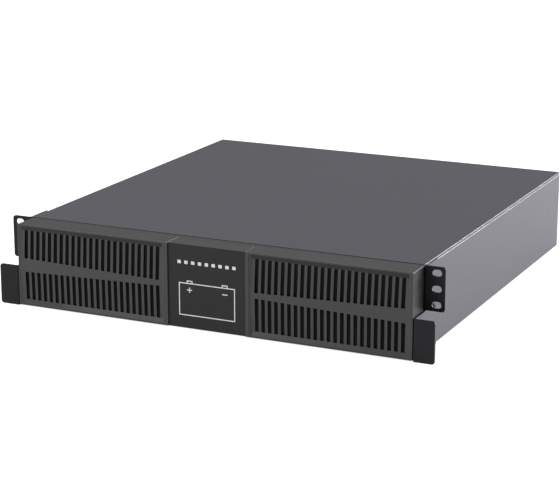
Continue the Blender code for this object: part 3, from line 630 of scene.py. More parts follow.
def ridge(place):
    """Picks the top edges that run from front to back at a distance from the middle."""
    def chosen(edge):
        on_line = at(edge, X, place) and span(edge, X) < NEAR
        return on_line and at(edge, Z, BEZEL_MAX.z) and span(edge, Y) > 0.010
    return chosen


def recess_rim(edge):
    """The front edges of the square recess's side walls."""
    return at(edge, X, PANEL_EDGE) and span(edge, X) < NEAR and at(edge, Y, FRONT)


def bezel_moulding():
    """The bezel's moulding: two bays with windows and the square recess, with snap lugs inside."""
    low = BEZEL_MIN.z + BEZEL_WALL
    high = BEZEL_MAX.z - BEZEL_WALL
    behind = BEZEL_MAX.y + CLEAR
    body = block((-HALF, FRONT, BEZEL_MIN.z), (HALF, BEZEL_MAX.y, BEZEL_MAX.z))
    recess = block((-PANEL_EDGE, FRONT - CLEAR, BEZEL_MIN.z - CLEAR),
                   (PANEL_EDGE, RECESS_BACK, BEZEL_MAX.z + CLEAR))
    hollow_half = PANEL_EDGE - BEZEL_WALL
    hollow = block((-hollow_half, RECESS_BACK + 0.002, low), (hollow_half, behind, high))
    cutters = [recess, hollow]
    windows, lugs = [], []
    for side in (-1, 1):
        cutters.append(block((side * (PANEL_EDGE + BEZEL_WALL), FRONT + BEZEL_FACE, low),
                             (side * (HALF - BEZEL_WALL), behind, high)))
        windows.append(block((side * GRILLE_IN, FRONT - CLEAR, WINDOW_LOW),
                             (side * GRILLE_OUT, FRONT + BEZEL_FACE + 0.0002, WINDOW_HIGH)))
        for x in LUG_PLACES:
            for wall, inward in ((low, 1), (high, -1)):
                lug = [(BEZEL_MAX.y - back, wall + inward * rise) for back, rise in LUG_OUTLINE]
                lugs.append(prism(lug, "X", side * x - LUG_HALF_WIDTH, side * x + LUG_HALF_WIDTH))
    solid = cut(cut(body, gathered(cutters)), gathered(windows))
    # The strong marks on the side ridges, the recess ridges and the recess's front rims are
    # painted highlights along these edges; the rim's marks are part scuffing, part painted
    # highlight.
    soften(solid, 0.0008, 3, ridge(HALF), scuff_and_highlight=3.0)
    soften(solid, 0.0006, 3, ridge(PANEL_EDGE), scuff_and_highlight=1.4)
    soften(solid, 0.0009, 3, bezel_rim)
    soften(solid, 0.0006, 2, recess_rim, scuff_and_highlight=1.5)
    solid = joined(solid, gathered(lugs))
    soften(solid, 0.0002, 2, scuff_and_highlight=0.4)
    make("bezel_moulding", solid, "bezel", "bezel_plastic",
         ["bezel_frame_left", "bezel_frame_right", "bezel_bridge"])


def bar_share(x):
    """How far out a place on the plain bar is: 0 near the panel, 1 at the side."""
    inner = PANEL_MAX.z / 2
    return (abs(x) - inner) / (HALF - inner)


def bar_half(x):
    return BAR_HALF_INNER + (BAR_HALF_OUTER - BAR_HALF_INNER) * bar_share(x)


def bar_set_back(x):
    return BAR_SET_BACK + BAR_SET_BACK_INNER * (1 - bar_share(x))


def slotted_sheet(side):
    """The grille's sheet: its halves lean back from the plain bar, its margins slope outwards."""
    reach = (WINDOW_HIGH - WINDOW_LOW) / 2 - GRILLE_FIT
    slot_reach = (GRILLE_MAX.z - GRILLE_MIN.z) / 2 - SLOT_MARGIN
    pitch = (FIRST_SLOT - LAST_SLOT) / (SLOTS - 1)
    # Each column holds its place, and the place that sets its depth, or None on the rim
    start, end = GRILLE_IN + GRILLE_FIT, GRILLE_OUT - GRILLE_FIT
    columns = [(start, None), (start + MARGIN_SLOPE, GRILLE_IN + MARGIN_SLOPE)]
    for i in range(SLOTS):
        middle = LAST_SLOT + pitch * i
        columns.append((middle - SLOT_WIDTH / 2, middle))
        columns.append((middle + SLOT_WIDTH / 2, middle))
    columns += [(end - MARGIN_SLOPE, GRILLE_OUT - MARGIN_SLOPE), (end, None)]
    solid = bmesh.new()
    front, back = [], []
    for x, at in columns:
        inner = bar_half(at or x)
        line = []
        for z in (-reach, -slot_reach, -inner, inner, slot_reach, reach):
            depth = bar_set_back(at or x) + FACET_LEAN * max(0.0, abs(z) - inner)
            if at is None or abs(z) == reach:
                depth = RIM_SET_BACK
            line.append(Vector((side * x, FRONT + depth, MIDDLE_Z + z)))
        front.append([solid.verts.new(point) for point in line])
        back.append([solid.verts.new(point + Vector((0, LOUVRE_THICK, 0))) for point in line])
    last_column = len(columns) - 1
    last_row = len(front[0]) - 1

    def filled(i, j):
        inside = 0 <= i < last_column and 0 <= j < last_row
        slot = i % 2 == 0 and 2 <= i < last_column - 1 and j in (1, 3)
        return inside and not slot

    for i in range(last_column):
        for j in range(last_row):
            if not filled(i, j):
                continue
            corners = ((i, j), (i + 1, j), (i + 1, j + 1), (i, j + 1))
            for sheet in (front, back):
                solid.faces.new([sheet[column][row] for column, row in corners])
            for near, start, end in (
                    ((i - 1, j), (i, j), (i, j + 1)), ((i + 1, j), (i + 1, j), (i + 1, j + 1)),
                    ((i, j - 1), (i, j), (i + 1, j)), ((i, j + 1), (i, j + 1), (i + 1, j + 1))):
                if not filled(*near):
                    a, b = front[start[0]][start[1]], front[end[0]][end[1]]
                    c, d = back[end[0]][end[1]], back[start[0]][start[1]]
                    solid.faces.new((a, b, c, d))
    bmesh.ops.recalc_face_normals(solid, faces=solid.faces)
    return solid


def slot_corner(edge):
    """The short edges through the sheet at the corners of its slots."""
    through = span(edge, Y) > LOUVRE_THICK * 0.9 and span(edge, X) < 0.00001
    return through and GRILLE_IN + 0.001 < abs(edge.verts[0].co.x) < GRILLE_OUT - 0.001


def grille(label, side):
    """A slotted insert with painted shade on its sideways and downward faces, and a dark sheet
    behind it as painted shade inside the bezel.
    """
    solid = slotted_sheet(side)
    soften(solid, 0.0004, 2, slot_corner, scuff_and_highlight=0.0)
    soften(solid, 0.00015, 1, scuff_and_highlight=0.4)
    # Faces that look sideways or down (slot walls, steep margins, the top margin) take the darker
    # plastic: painted shade.
    for face in solid.faces:
        painted_shade_face = abs(face.normal.x) > 0.5 or face.normal.z < -0.2
        face.material_index = 1 if painted_shade_face else 0
    louvres = make(
        f"grille_{label}_louvres", solid, "bezel", "bezel_plastic", [f"grille_{label}"])
    louvres.data.materials.append(LOOKS["recess_plastic"])
    reach = (WINDOW_HIGH - WINDOW_LOW) / 2 - GRILLE_FIT
    deepest = BAR_SET_BACK + BAR_SET_BACK_INNER + FACET_LEAN * reach
    start = FRONT + deepest + LOUVRE_THICK + 0.0001
    # A near-black sheet behind the louvres: painted shade that darkens what shows through the
    # slots.
    sheet = rounded((GRILLE_IN + SHADE_SHEET_INSET, WINDOW_LOW + SHADE_SHEET_INSET),
                    (GRILLE_OUT - SHADE_SHEET_INSET, WINDOW_HIGH - SHADE_SHEET_INSET), 0.002)
    shade_sheet = prism(flipped(sheet, side), "Y", start, start + SHADE_SHEET_THICK)
    make(f"slot_shade_sheet_{label}", soften(shade_sheet, 0.0003, 2), "bezel", "bezel_plastic",
         look="filter_foam")


def panel_front_rim(edge):
    """The panel's front edges along its top and bottom."""
    return at(edge, Y, PANEL_MIN.y) and span(edge, X) > 0.01


def panel_top_side(edge):
    """The edges between the panel's top and its sides."""
    on_side = at(edge, X, PANEL_MAX.x) and span(edge, X) < NEAR
    return on_side and at(edge, Z, PANEL_MAX.z)


def centre_panel():
    """The push-in panel with its dark front, and two snap arms in each side wall."""
    solid = cad_solid("centre_panel")
    # The panel's top side edges get a strong light mark: a painted highlight.
    soften(solid, 0.0006, 3, panel_top_side, scuff_and_highlight=1.4)
    soften(solid, 0.0010, 4, panel_front_rim)
    soften(solid, 0.0003, 2, scuff_and_highlight=0.4)
    for face in solid.faces:
        face.material_index = 0 if face.normal.y < -0.75 else 1
    cover = make("centre_panel_cover", solid, "centre_panel", "panel_plastic", ["centre_panel"])
    cover.data.materials.append(LOOKS["bezel_plastic"])
    arm_x = PANEL_MAX.x - 0.0024 - 0.0010
    arms = []
    for side in (-1, 1):
        for z in (MIDDLE_Z - 0.022, MIDDLE_Z + 0.022):
            place = (side * arm_x, PANEL_MAX.y - 0.0065, z)
            arms.append(middle_block(place, (0.0014, 0.0110, 0.0070)))
    make("centre_panel_snap_arms", soften(gathered(arms), 0.0003, 2), "centre_panel",
         "panel_plastic")


def print_marks():
    """The light print on the panel: a battery outline with two poles, and a row of plain marks."""
    front = PANEL_MIN.y - 0.00006
    back = PANEL_MIN.y + 0.0002
    left, low, right, high = OUTLINE
    line = PRINT_LINE
    strokes = [
        (left, low, right, low + line),
        (left, high - line, right, high),
        (left, low + line, left + line, high - line),
        (right - line, low + line, right, high - line),
    ]
    for start in POLE_STARTS:
        end = start + POLE_WIDTH
        strokes.append((start, high, start + line, high + POLE_HIGH))
        strokes.append((end - line, high, end, high + POLE_HIGH))
        strokes.append((start, high + POLE_HIGH, end, high + POLE_HIGH + line))
    strokes += SIGNS
    outline = gathered([block((x1, front, z1), (x2, back, z2)) for x1, z1, x2, z2 in strokes])
    make("battery_outline_print", outline, "centre_panel", "panel_plastic", look="print", sharp=30)
    marks = []
    for x in centred_row(MARKS, MARK_PITCH):
        mark = rounded((x - MARK_HALF, MARK_LOW), (x + MARK_HALF, MARK_HIGH), 0.0005, 3)
        marks.append(prism(mark, "Y", front, back))
    make("level_marks_print", gathered(marks), "centre_panel", "panel_plastic", look="print",
         sharp=30)


# ---- rack brackets


def bent_sheet(side, face, edge, low, high):
    """A flange bent outwards from the side plate, with a round bend and round free corners."""
    inner = BRACKET_MIN.x
    bend = SHEET + BEND_INSIDE
    centre = (inner + bend, face + bend)
    outline = [(inner, BRACKET_MAX.y)]
    outline += arc(centre, bend, 180, 270, 6)
    outline += [(edge, face), (edge, face + SHEET)]
    outline += arc(centre, BEND_INSIDE, 270, 180, 4)
    outline += [(inner + SHEET, BRACKET_MAX.y)]
    solid = prism(flipped(outline, side), "Z", low, high)
    mask = [(inner - CORNER, low - CORNER), (inner + bend, low - CORNER), (inner + bend, low)]
    mask += arc((edge - CORNER, low + CORNER), CORNER, -90, 0, 8)
    mask += arc((edge - CORNER, high - CORNER), CORNER, 0, 90, 8)
    mask += [(inner + bend, high), (inner + bend, high + CORNER), (inner - CORNER, high + CORNER)]
    return within(solid, prism(flipped(mask, side), "Y", face - CORNER, BRACKET_MAX.y + CORNER))


def rack_bracket(label, side):
    """The slotted ear and the pull tab on one side plate; sideways faces take the lighter chassis
    paint as a painted lit side.
    """
    inner = BRACKET_MIN.x
    top = BRACKET_MAX.z
    ear = bent_sheet(side, EAR_FACE, EAR_EDGE, EAR_BOTTOM, top)
    tab = bent_sheet(side, FRONT, BRACKET_MAX.x, 0.0, TAB_TOP)
    strip = block((side * inner, EAR_FACE + 0.0023, TAB_TOP - 0.001),
                  (side * (inner + SHEET), BRACKET_MAX.y, EAR_BOTTOM + 0.001))
    holes = []
    for i in range(3):
        slot = stadium((side * SLOT_CENTRE, SLOT_TOP - SLOT_PITCH * i), SLOT_LENGTH, SLOT_HEIGHT)
        holes.append(prism(slot, "Y", EAR_FACE - CLEAR, EAR_FACE + CLEAR))
    for i in (1, 2):
        low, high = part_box(f"bracket_screw_{label}_{i}")
        centre = (low + high) / 2
        start = (side * (inner - CLEAR), centre.y, centre.z)
        holes.append(rod(start, (side, 0, 0), 0.012, BRACKET_SCREW_HOLE))
    above = block((side * (inner - 0.002), EAR_ROOT, PLATE_TOP[label]),
                  (side * (inner + SHEET + 0.002), BRACKET_MAX.y + 0.002, top + 0.002))
    solid = cut(cut(joined(ear, tab, strip), gathered(holes)), above)
    soften(solid, 0.00025, 2, scuff_and_highlight=0.15)
    # Lit and shaded copies of one black paint: faces that look sideways, and the plate's top
    # behind the ear, take the lighter chassis paint as painted light; the rest keep the dark
    # bracket paint.
    for face in solid.faces:
        plate_top = face.normal.z > 0.8 and face.calc_center_median().y > EAR_ROOT
        face.material_index = 1 if abs(face.normal.x) > 0.8 or plate_top else 0
    sheet = make(f"rack_bracket_{label}_sheet", solid, "chassis", "bracket_paint",
                 [f"rack_bracket_{label}"])
    sheet.data.materials.append(LOOKS["chassis_paint"])


def bracket_screw(label, side, number):
    """A low-headed screw with a cross recess, in the side plate."""
    low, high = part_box(f"bracket_screw_{label}_{number}")
    centre = (low + high) / 2
    radius = (high.z - low.z) / 2
    tip = (high.x if side > 0 else low.x, centre.y, centre.z)
    profile = [(-0.0064, 0.0016), (-0.0014, 0.0016), (-0.0014, radius), (-0.0007, radius)]
    profile += [(-0.0003, radius * 0.86), (0.0, radius * 0.62)]
    screw = turned(profile, tip, (side, 0, 0))
    screw = cut(screw, cross_recess(tip, 0, radius * 1.1, 0.0014))
    make(f"bracket_screw_{label}_{number}_head", soften(screw, 0.00012, 1), "chassis",
         "black_screw", [f"bracket_screw_{label}_{number}"])


# ---- chassis shell


def along_side(edge):
    """An edge that runs from front to back on the outside of a side wall."""
    return at(edge, X, HALF) and span(edge, X) < NEAR and span(edge, Y) > 0.10


def top_cover():
    """The folded cover, with round bends."""
    solid = cad_solid("top_cover")

    def folds(edge):
        return along_side(edge) and at(edge, Z, COVER_MAX.z)

    # The folds along the sides get a strong light mark: a painted highlight along the bend.
    soften(solid, 0.0006, 3, folds, scuff_and_highlight=1.6)
    soften(solid, 0.0002, 1, lambda edge: not at(edge, Y, COVER_MIN.y), scuff_and_highlight=0.35)
    cover = make("top_cover_sheet", solid, "chassis", "chassis_paint", ["top_cover"])
    cover.data.set_sharp_from_angle(angle=math.radians(60))


def base_pan():
    """The folded pan, with a painted highlight along the step in its side walls."""
    solid = cad_solid("base_pan")
    low, high = COVER_MAX.z - 0.0050, COVER_MAX.z - 0.0022

    def folds(edge):
        return along_side(edge) and at(edge, Z, 0.0)

    def step(edge):
        return along_side(edge) and all(low < vertex.co.z < high for vertex in edge.verts)

    soften(solid, 0.0009, 4, folds, scuff_and_highlight=0.2)
    # The step gets a strong light mark: a painted highlight.
    soften(solid, 0.00045, 3, step, scuff_and_highlight=1.2)
    soften(solid, 0.00015, 1, scuff_and_highlight=0.35)
    make("base_pan_sheet", solid, "chassis", "chassis_paint", ["base_pan"])


def chassis_inside():
    for name in ("centre_divider", "rear_bulkhead"):
        finished_cad(name, "chassis", "zinc_steel", 0.0002, 1)
    finished_cad("front_frame", "chassis", "chassis_paint", 0.0002, 1)


# ---- trays and batteries


def battery_tabs(name, body, face, away, low, middle_z):
    """The two tabs on a battery's lid, each in a coloured base."""
    tabs = []
    for z, colour in TAB_HEIGHTS:
        centre = Vector((face, low.y + TAB_BESIDE, middle_z + z))
        base = block((face - away * 0.001, centre.y - 0.0055, centre.z - 0.0040),
                     (face + away * 0.0012, centre.y + 0.0055, centre.z + 0.0040))
        make(f"{name}_{colour}_base", soften(base, 0.0005, 2, scuff_and_highlight=0.5), body,
             f"{colour}_plastic")
        outline = rounded((0.0, centre.y - 0.0031), (0.0049, centre.y + 0.0031), 0.0010, 3)
        outline = [(face + away * a, b) for a, b in outline]
        tabs.append(prism(outline, "Z", centre.z - 0.0004, centre.z + 0.0004))
    make(name + "_tabs", soften(gathered(tabs), 0.00015, 1), body, "battery_case",
         look="zinc_steel")


def battery(label, side, place, row):
    """A sealed lead-acid block: ribbed case, lid with its vent strip, and two tabs."""
    name = f"battery_{label}_{place}_{row}"
    body = f"tray_{label}"
    low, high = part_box(name)
    away = side if place == "inner" else -side
    near, far = (low.x, high.x) if away > 0 else (high.x, low.x)
    face = far - away * TAB_OUT
    split = face - away * LID_DEEP
    middle_z = (low.z + high.z) / 2
    case = block((near, low.y, low.z), (split, high.y, high.z - CASE_RIB))
    soften(case, 0.0012, 3, scuff_and_highlight=0.6)
    rib_size = (abs(split - near) - 0.010, 0.0012, 2 * CASE_RIB)
    ribs = []
    for share in (0.25, 0.5, 0.75):
        y = low.y + (high.y - low.y) * share
        ribs.append(middle_block(((near + split) / 2, y, high.z - CASE_RIB), rib_size))
    make(name + "_case", joined(case, gathered(ribs)), body, "battery_case", [name])
    lid = block((split + away * 0.0004, low.y + LID_INSET, low.z + LID_INSET),
                (face, high.y - LID_INSET, high.z - LID_INSET))
    soften(lid, 0.0010, 2, scuff_and_highlight=0.6)
    strip = block((face - away * 0.0005, low.y + 0.040, middle_z - 0.012),
                  (face + away * 0.0007, high.y - 0.020, middle_z + 0.012))
    soften(strip, 0.0004, 1, scuff_and_highlight=0.6)
    make(name + "_lid", gathered([lid, strip]), body, "battery_case")
    battery_tabs(name, body, face, away, low, middle_z)


def series_lead(label):
    """The lead between the two rows of batteries, with a sleeved terminal at each end."""
    name = f"series_lead_{label}"
    body = f"tray_{label}"
    low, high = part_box(name)
    x = (low.x + high.x) / 2
    fronts = [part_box(f"battery_{label}_inner_{row}")[0].y for row in (1, 2)]
    first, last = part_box(f"battery_{label}_inner_1")
    middle = (first.z + last.z) / 2
    corners = [(x, fronts[row] + behind, middle + rise) for behind, row, rise in SERIES_ROUTE]
    points = smooth_route(corners)
    make(name + "_insulation", tube(points, SERIES_RADIUS), body, "cable_black", [name])
    sleeve = [(0.0, 0.0021), (0.0004, 0.0025), (0.0090, 0.0025), (0.0110, 0.0021)]
    ends = []
    for a, b in ((points[0], points[3]), (points[-1], points[-4])):
        axis = (b - a).normalized()
        ends.append(turned(sleeve, a + axis * 0.0005, axis, 20))
    make(name + "_sleeves", gathered(ends), body, "cable_black", look="red_plastic")


def tray_handle(label):
    """The tray's pull handle: a bent bar on two round feet, with a dipped grip."""
    name = f"tray_handle_{label}"
    body = f"tray_{label}"
    low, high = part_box(name)
    radius = (high.z - low.z) / 2
    middle_z = (low.z + high.z) / 2
    left, right = low.x + radius, high.x - radius
    front = low.y + radius
    path = [(left, high.y)]
    path += arc((left + HANDLE_BEND, front + HANDLE_BEND), HANDLE_BEND, 180, 270, 10)
    path += arc((right - HANDLE_BEND, front + HANDLE_BEND), HANDLE_BEND, 270, 360, 10)
    path += [(right, high.y)]
    bar = tube([(x, y, middle_z) for x, y in path], radius * 0.90, 24)
    foot = [(0.0, radius * 1.45), (0.0012, radius * 1.45), (0.0024, radius * 1.05),
            (0.0030, radius * 0.9)]
    feet = [turned(foot, (x, high.y, middle_z), (0, -1, 0)) for x in (left, right)]
    make(name + "_bar", gathered([bar, *feet]), body, "handle_black", [name],
         look="black_screw", sharp=40)
    start, end = left + HANDLE_BEND + 0.002, right - HANDLE_BEND - 0.002
    last = GRIP_RINGS - 1
    points, swell = [], []
    for i in range(GRIP_RINGS):
        points.append((start + (end - start) * i / last, front, middle_z))
        swell.append(0.93 if i in (0, last) else (0.97 if i % 4 == 2 else 1.0))
    make(name + "_grip", tube(points, radius * 0.995, 24, swell), body, "handle_black")


def power_contacts(name, body, place, length):
    """Half of a tray's blind-mating connector, with a row of four contacts."""
    finished_cad(name, body, "black_plastic", 0.0004, 2)
    bars = contact_bars(place, 4, 0.0052, (0.0030, length, 0.0003))
    make(name + "_contacts", bars, body, "black_plastic", look="brass", sharp=30)


def plug(label):
    """The tray's plug, with its contacts at the spigot's end."""
    name = f"tray_plug_{label}"
    low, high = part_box(name)
    centre = (low + high) / 2
    power_contacts(name, f"tray_{label}", (centre.x, high.y - 0.0034, high.z - 0.0035), 0.0060)


def dock_socket(label):
    """The chassis's socket, with its contacts above the middle of its mouth."""
    name = f"dock_socket_{label}"
    low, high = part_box(name)
    centre = (low + high) / 2
    power_contacts(name, "chassis", (centre.x, low.y + 0.0060, centre.z + 0.0043), 0.0070)


def tray(label, side):
    """A slide-out tray with its strap, four batteries, series lead, handle and plug."""
    body = f"tray_{label}"
    finished_cad(f"tray_{label}", body, "bracket_paint", 0.0003, 2)
    finished_cad(f"battery_strap_{label}", body, "zinc_steel", 0.0002, 2)
    for row in (1, 2):
        for place in ("inner", "outer"):
            battery(label, side, place, row)
    series_lead(label)
    tray_handle(label)
    plug(label)


def thumbscrew(label, place):
    """A captive screw with a knurled head and a slot."""
    name = f"thumbscrew_{label}_{place}"
    low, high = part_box(name)
    centre = (low + high) / 2
    radius = (high.x - low.x) / 2
    # Each ring: place along Y, radius, whether it is knurled
    profile = [
        (high.y, 0.0019, False), (high.y - 0.0063, 0.0019, False),
        (high.y - 0.0063, radius * 0.92, False), (high.y - 0.0071, radius * 0.92, False),
        (high.y - 0.0074, radius, True), (low.y + 0.0014, radius, True),
        (low.y + 0.0007, radius * 0.94, False), (low.y, radius * 0.78, False)]
    rings = []
    for y, size, knurled in profile:
        ring = []
        for step in range(2 * KNURL_TEETH):
            angle = math.pi * step / KNURL_TEETH
            here = size * (1 - 0.055 * (step % 2)) if knurled else size * 0.97
            ring.append((centre.x + here * math.cos(angle), y, centre.z + here * math.sin(angle)))
        rings.append(ring)
    slot = middle_block((centre.x, low.y, centre.z), (radius * 2.4, 0.0030, 0.0011))
    make(name + "_knurled", cut(lofted(rings), slot), name, "zinc_steel", [name], sharp=20)


# ---- rear bay


def lead_with_ferrules(name, corners, radius, slot):
    """A lead in its insulation, with a crimped ferrule at each end."""
    points = smooth_route(corners)
    make(name + "_insulation", tube(points, radius * 0.98), "chassis", slot, [name])
    profile = [(0.0, radius * 0.70), (0.0005, radius * 0.80), (0.0010, radius * 1.02)]
    profile += [(0.0050, radius * 1.02), (0.0058, radius * 0.95)]
    ends = []
    for a, b in ((points[0], points[2]), (points[-1], points[-3])):
        axis = (b - a).normalized()
        ends.append(turned(profile, a - axis * 0.0003, axis, 24))
    make(name + "_ferrules", gathered(ends), "chassis", slot, look="black_plastic", sharp=30)


def harness(label, side):
    """The lead from a tray's dock socket to the fuse block."""
    low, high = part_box(f"dock_socket_{label}")
    block_low, block_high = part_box("fuse_block")
    x, z = (low.x + high.x) / 2, (low.z + high.z) / 2
    start_y = high.y + LEAD_GAP
    end_x = side * (block_high.x + LEAD_GAP)
    end_y = (block_low.y + block_high.y) / 2
    corners = [
        (x, start_y, z),
        (x, start_y + 0.010, z),
        (x - side * 0.012, end_y - 0.004, z),
        (end_x + side * 0.020, end_y, z),
        (end_x, end_y, z),
    ]
    lead_with_ferrules(f"harness_{label}", corners, HARNESS_RADIUS, "cable_black")


def output_lead(number, height):
    """The lead from the breaker, at a height on its side, to a battery connector."""
    low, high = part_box(f"battery_connector_{number}")
    x, z = (low.x + high.x) / 2, (low.z + high.z) / 2
    side_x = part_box("breaker_body")[1].x + LEAD_GAP
    inner_end = low.y - LEAD_GAP
    y = REAR - 0.018
    corners = [
        (side_x, y, height),
        (side_x + 0.010, y - 0.002, height),
        ((side_x + x) / 2, inner_end - 0.026, (height + z) / 2),
        (x, inner_end - 0.014, z),
        (x, inner_end - 0.006, z),
        (x, inner_end, z),
    ]
    lead_with_ferrules(f"output_lead_{number}", corners, OUTPUT_RADIUS, "cable_red")


def battery_connector(number):
    """A flanged power connector with a contact blade in each socket and two flange screws."""
    name = f"battery_connector_{number}"
    low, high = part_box(name)
    centre = (low + high) / 2
    finished_cad(name, "chassis", "black_plastic", 0.0006, 3)
    blades, screws = [], []
    for way in (-1, 1):
        middle = (centre.x + way * 0.0115, high.y - 0.0115, centre.z)
        blades.append(soften(middle_block(middle, (0.0080, 0.0150, 0.0024)), 0.0006, 2, scuff_and_highlight=0.6))
        on_flange = (centre.x + way * 0.0279, REAR + 0.0023, centre.z)
        screws.append(screw_head(on_flange, (0, 1, 0), 0.0022, 0.0012))
    make(name + "_blades", gathered(blades), "chassis", "black_plastic", look="brass")
    make(name + "_screws", gathered(screws), "chassis", "black_plastic", look="zinc_steel")


def breaker():
    """The breaker's housing, its ridged toggle, and a bar and a ring for on and off."""
    low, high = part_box("breaker_body")
    centre = (low + high) / 2
    finished_cad("breaker_body", "chassis", "black_plastic", 0.0005, 3)
    finished_cad("breaker_lever", "breaker_lever", "red_plastic", 0.0005, 3)
    face = high.y
    bar = middle_block((centre.x, face, centre.z + 0.0165), (0.0009, 0.0002, 0.0050))
    ring_z = centre.z - 0.0165
    ring = rod((centre.x, face - 0.0001, ring_z), (0, 1, 0), 0.0002, 0.0026, 32)
    hole = rod((centre.x, face - 0.0010, ring_z), (0, 1, 0), 0.0030, 0.0018, 32)
    make("breaker_marks", gathered([bar, cut(ring, hole)]), "chassis", "black_plastic",
         look="print", sharp=30)


def link_port():
    """The link port, with a row of fine contacts in each of its two sockets."""
    low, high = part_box("link_port")
    centre = (low + high) / 2
    finished_cad("link_port", "chassis", "black_plastic", 0.0003, 2)
    rows = []
    for way in (-1, 1):
        middle = (centre.x + way * 0.0080, high.y - 0.0060, centre.z + 0.0034)
        rows.append(contact_bars(middle, 8, 0.0010, (0.0004, 0.0090, 0.0003)))
    make("link_port_contacts", gathered(rows), "chassis", "black_plastic", look="brass", sharp=30)


def ground_stud():
    """The threaded stud, its flanged nut, and the earth sign above them."""
    low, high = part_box("ground_stud")
    centre = (low + high) / 2
    length = high.y - low.y
    profile = [(0.0, 0.0045), (0.0030, 0.0045), (0.0030, STUD_RADIUS)]
    along = 0.0035
    while along < length - 0.0012:
        profile += [(along, STUD_RADIUS), (along + 0.00035, STUD_RADIUS - 0.00028),
                    (along + 0.0007, STUD_RADIUS)]
        along += THREAD_PITCH
    profile.append((length, STUD_RADIUS - 0.0006))
    stud = turned(profile, (centre.x, low.y, centre.z), (0, 1, 0))
    make("ground_stud_threaded", stud, "chassis", "zinc_steel", ["ground_stud"], sharp=40)
    low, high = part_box("ground_nut")
    base = (centre.x, low.y, centre.z)
    length = high.y - low.y
    nut = rod(base, (0, 1, 0), length, NUT_RADIUS, 6)
    cone = [(0.0, NUT_RADIUS), (0.0030, NUT_RADIUS), (length, 0.0038)]
    nut = within(nut, turned(cone, base, (0, 1, 0), 48))
    flange = [(0.0, 0.0056), (0.0006, 0.0056), (0.0010, NUT_RADIUS)]
    bore = rod((centre.x, low.y - 0.004, centre.z), (0, 1, 0), 0.012, STUD_RADIUS + 0.0002, 32)
    nut = cut(joined(nut, turned(flange, base, (0, 1, 0), 48)), bore)
    make("ground_nut_flanged", soften(nut, 0.0001, 1), "chassis", "zinc_steel", ["ground_nut"])
    x, z = centre.x, centre.z + 0.012
    lines = []
    for width, rise, thick in ((0.0080, 0.0, 0.0006), (0.0052, -0.0016, 0.0006),
                               (0.0024, -0.0032, 0.0006), (0.0006, 0.0020, 0.0034)):
        lines.append(middle_block((x, REAR - GAP, z + rise), (width, 0.0002, thick)))
    make("ground_mark", gathered(lines), "chassis", "chassis_paint", look="print", sharp=30)


def rear_panel():
    """The vented rear panel, with its screws."""
    finished_cad("rear_panel", "chassis", "chassis_paint", 0.0002, 1)
    heads = []
    for x in PANEL_SCREWS_X:
        for z in PANEL_SCREWS_Z:
            heads.append(screw_head((x, REAR_PLATE_FACE, z), (0, 1, 0), 0.0027, 0.0015))
    make("rear_panel_screws", gathered(heads), "chassis", "chassis_paint", look="black_screw")


def fuses():
    """The terminal block with its studs and nuts, two strip fuses and the copper strap."""
    low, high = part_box("fuse_block")
    finished_cad("fuse_block", "chassis", "black_plastic", 0.0005, 2)
    base = high.z + GAP
    studs = []
    for label in ("left", "right"):
        fuse_low, fuse_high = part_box(f"fuse_{label}")
        centre = (fuse_low + fuse_high) / 2
        plate = block((centre.x - 0.005, fuse_low.y, base),
                      (centre.x + 0.005, fuse_high.y, base + 0.0015))
        caps = []
        for way in (-1, 1):
            start = (centre.x, centre.y + way * 0.0062, base + FUSE_AXIS)
            caps.append(rod(start, (0, way, 0), 0.0028, 0.00445, 32))
        ends = gathered([soften(plate, 0.0003, 1), soften(gathered(caps), 0.0003, 2)])
        make(f"fuse_{label}_ends", ends, "chassis", "ceramic", [f"fuse_{label}"],
             look="zinc_steel")
        start = (centre.x, centre.y - 0.0065, base + FUSE_AXIS)
        barrel = rod(start, (0, 1, 0), 0.0130, 0.00425, 32)
        make(f"fuse_{label}_barrel", soften(barrel, 0.0003, 1), "chassis", "ceramic")
        for y in (low.y + 0.006, high.y - 0.006):
            top = base + 0.0015 + (0.0018 if y > centre.y else 0.0)
            studs.append(rod((centre.x, y, top - 0.0004), (0, 0, 1), 0.0028, 0.0036, 6))
            studs.append(rod((centre.x, y, top + 0.0020), (0, 0, 1), 0.0026, 0.0018, 20))
    make("fuse_block_nuts", soften(gathered(studs), 0.0002, 1), "chassis", "black_plastic",
         look="zinc_steel")
    finished_cad("positive_busbar", "chassis", "copper", 0.0003, 2)


# ---- scene


def floor():
    size = 9.0
    depth = 0.02
    piece = added("studio_floor", block((-size, -size, -depth), (size, size, 0.0)))
    look = bpy.data.materials.new("studio_floor")
    look.use_nodes = True
    tree = look.node_tree
    shader = tree.nodes["Principled BSDF"]
    where = node(tree, "ShaderNodeTexCoord").outputs["Object"]
    tint = blended(tree, noise(tree, where, 0.5, 2.0), (0.45, 0.45, 0.455), (0.47, 0.47, 0.475))
    tree.links.new(tint, shader.inputs["Base Color"])
    shader.inputs["Roughness"].default_value = 0.9
    shader.inputs["Specular IOR Level"].default_value = 0.1
    shader.inputs["Emission Color"].default_value = (1.0, 1.0, 1.0, 1.0)
    shader.inputs["Emission Strength"].default_value = 0.7
    piece.data.materials.append(look)


def area_light(name, place, target, size, power, colour=(1, 1, 1)):
    data = bpy.data.lights.new(name, "AREA")
    data.shape = "RECTANGLE"
    data.size, data.size_y = size
    data.energy = power
    data.color = colour
    lamp = placed(name, data)
    lamp.location = place
    lamp.rotation_euler = (Vector(target) - Vector(place)).to_track_quat("-Z", "Y").to_euler()


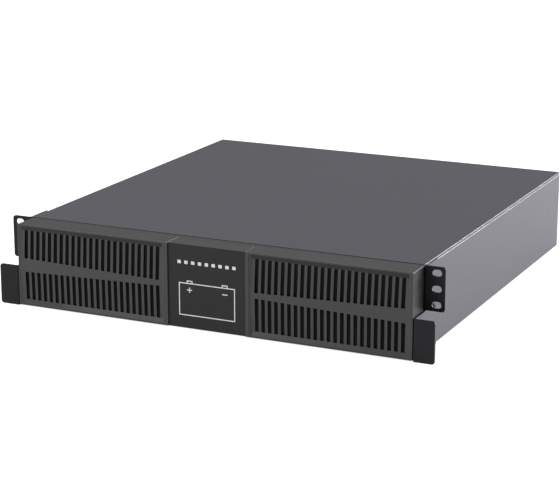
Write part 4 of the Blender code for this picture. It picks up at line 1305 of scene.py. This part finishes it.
def studio():
    world = bpy.data.worlds.new("studio")
    world.use_nodes = True
    background = world.node_tree.nodes["Background"]
    background.inputs["Color"].default_value = (0.97, 0.98, 1.0, 1.0)
    background.inputs["Strength"].default_value = 0.38
    scene = bpy.context.scene
    scene.world = world
    scene.view_settings.view_transform = "Standard"
    scene.view_settings.look = "None"
    area_light("overhead", (0.1, 0.5, 2.6), (0, 0.1, 0), (3.0, 3.0), 38.5)
    area_light("front_left", (-1.12, -1.10, 1.18), (0, -0.1, 0.04), (1.1, 1.1), 28.5)
    area_light("right_back", (1.9, 1.5, 0.75), (0.2, 0.0, 0.04), (1.8, 1.4), 98.0,
               (0.935, 0.925, 1.0))


def camera():
    data = bpy.data.cameras.new("camera")
    data.sensor_width = 36.0
    data.lens = CAMERA_LENS
    data.clip_start = 0.05
    data.clip_end = 60.0
    back = Vector((
        math.sin(CAMERA_AZIMUTH) * math.cos(CAMERA_ELEVATION),
        -math.cos(CAMERA_AZIMUTH) * math.cos(CAMERA_ELEVATION),
        math.sin(CAMERA_ELEVATION),
    ))
    made = placed("camera", data)
    made.location = CAMERA_TARGET + CAMERA_DISTANCE * back
    made.rotation_euler = (math.pi / 2 - CAMERA_ELEVATION, 0.0, CAMERA_AZIMUTH)
    bpy.context.scene.camera = made


LOOKS = {look: finish_look(*row, **others) for look, (*row, others) in FINISHES.items()}
camera()
studio()
floor()
bezel_moulding()
centre_panel()
print_marks()
for LABEL, SIDE in (("left", -1), ("right", 1)):
    grille(LABEL, SIDE)
    rack_bracket(LABEL, SIDE)
    for NUMBER in (1, 2):
        bracket_screw(LABEL, SIDE, NUMBER)
    tray(LABEL, SIDE)
    for PLACE in ("inner", "outer"):
        thumbscrew(LABEL, PLACE)
    dock_socket(LABEL)
    harness(LABEL, SIDE)
top_cover()
base_pan()
chassis_inside()
rear_panel()
for NUMBER, HEIGHT in ((1, 0.066), (2, 0.034)):
    battery_connector(NUMBER)
    output_lead(NUMBER, HEIGHT)
breaker()
link_port()
ground_stud()
fuses()
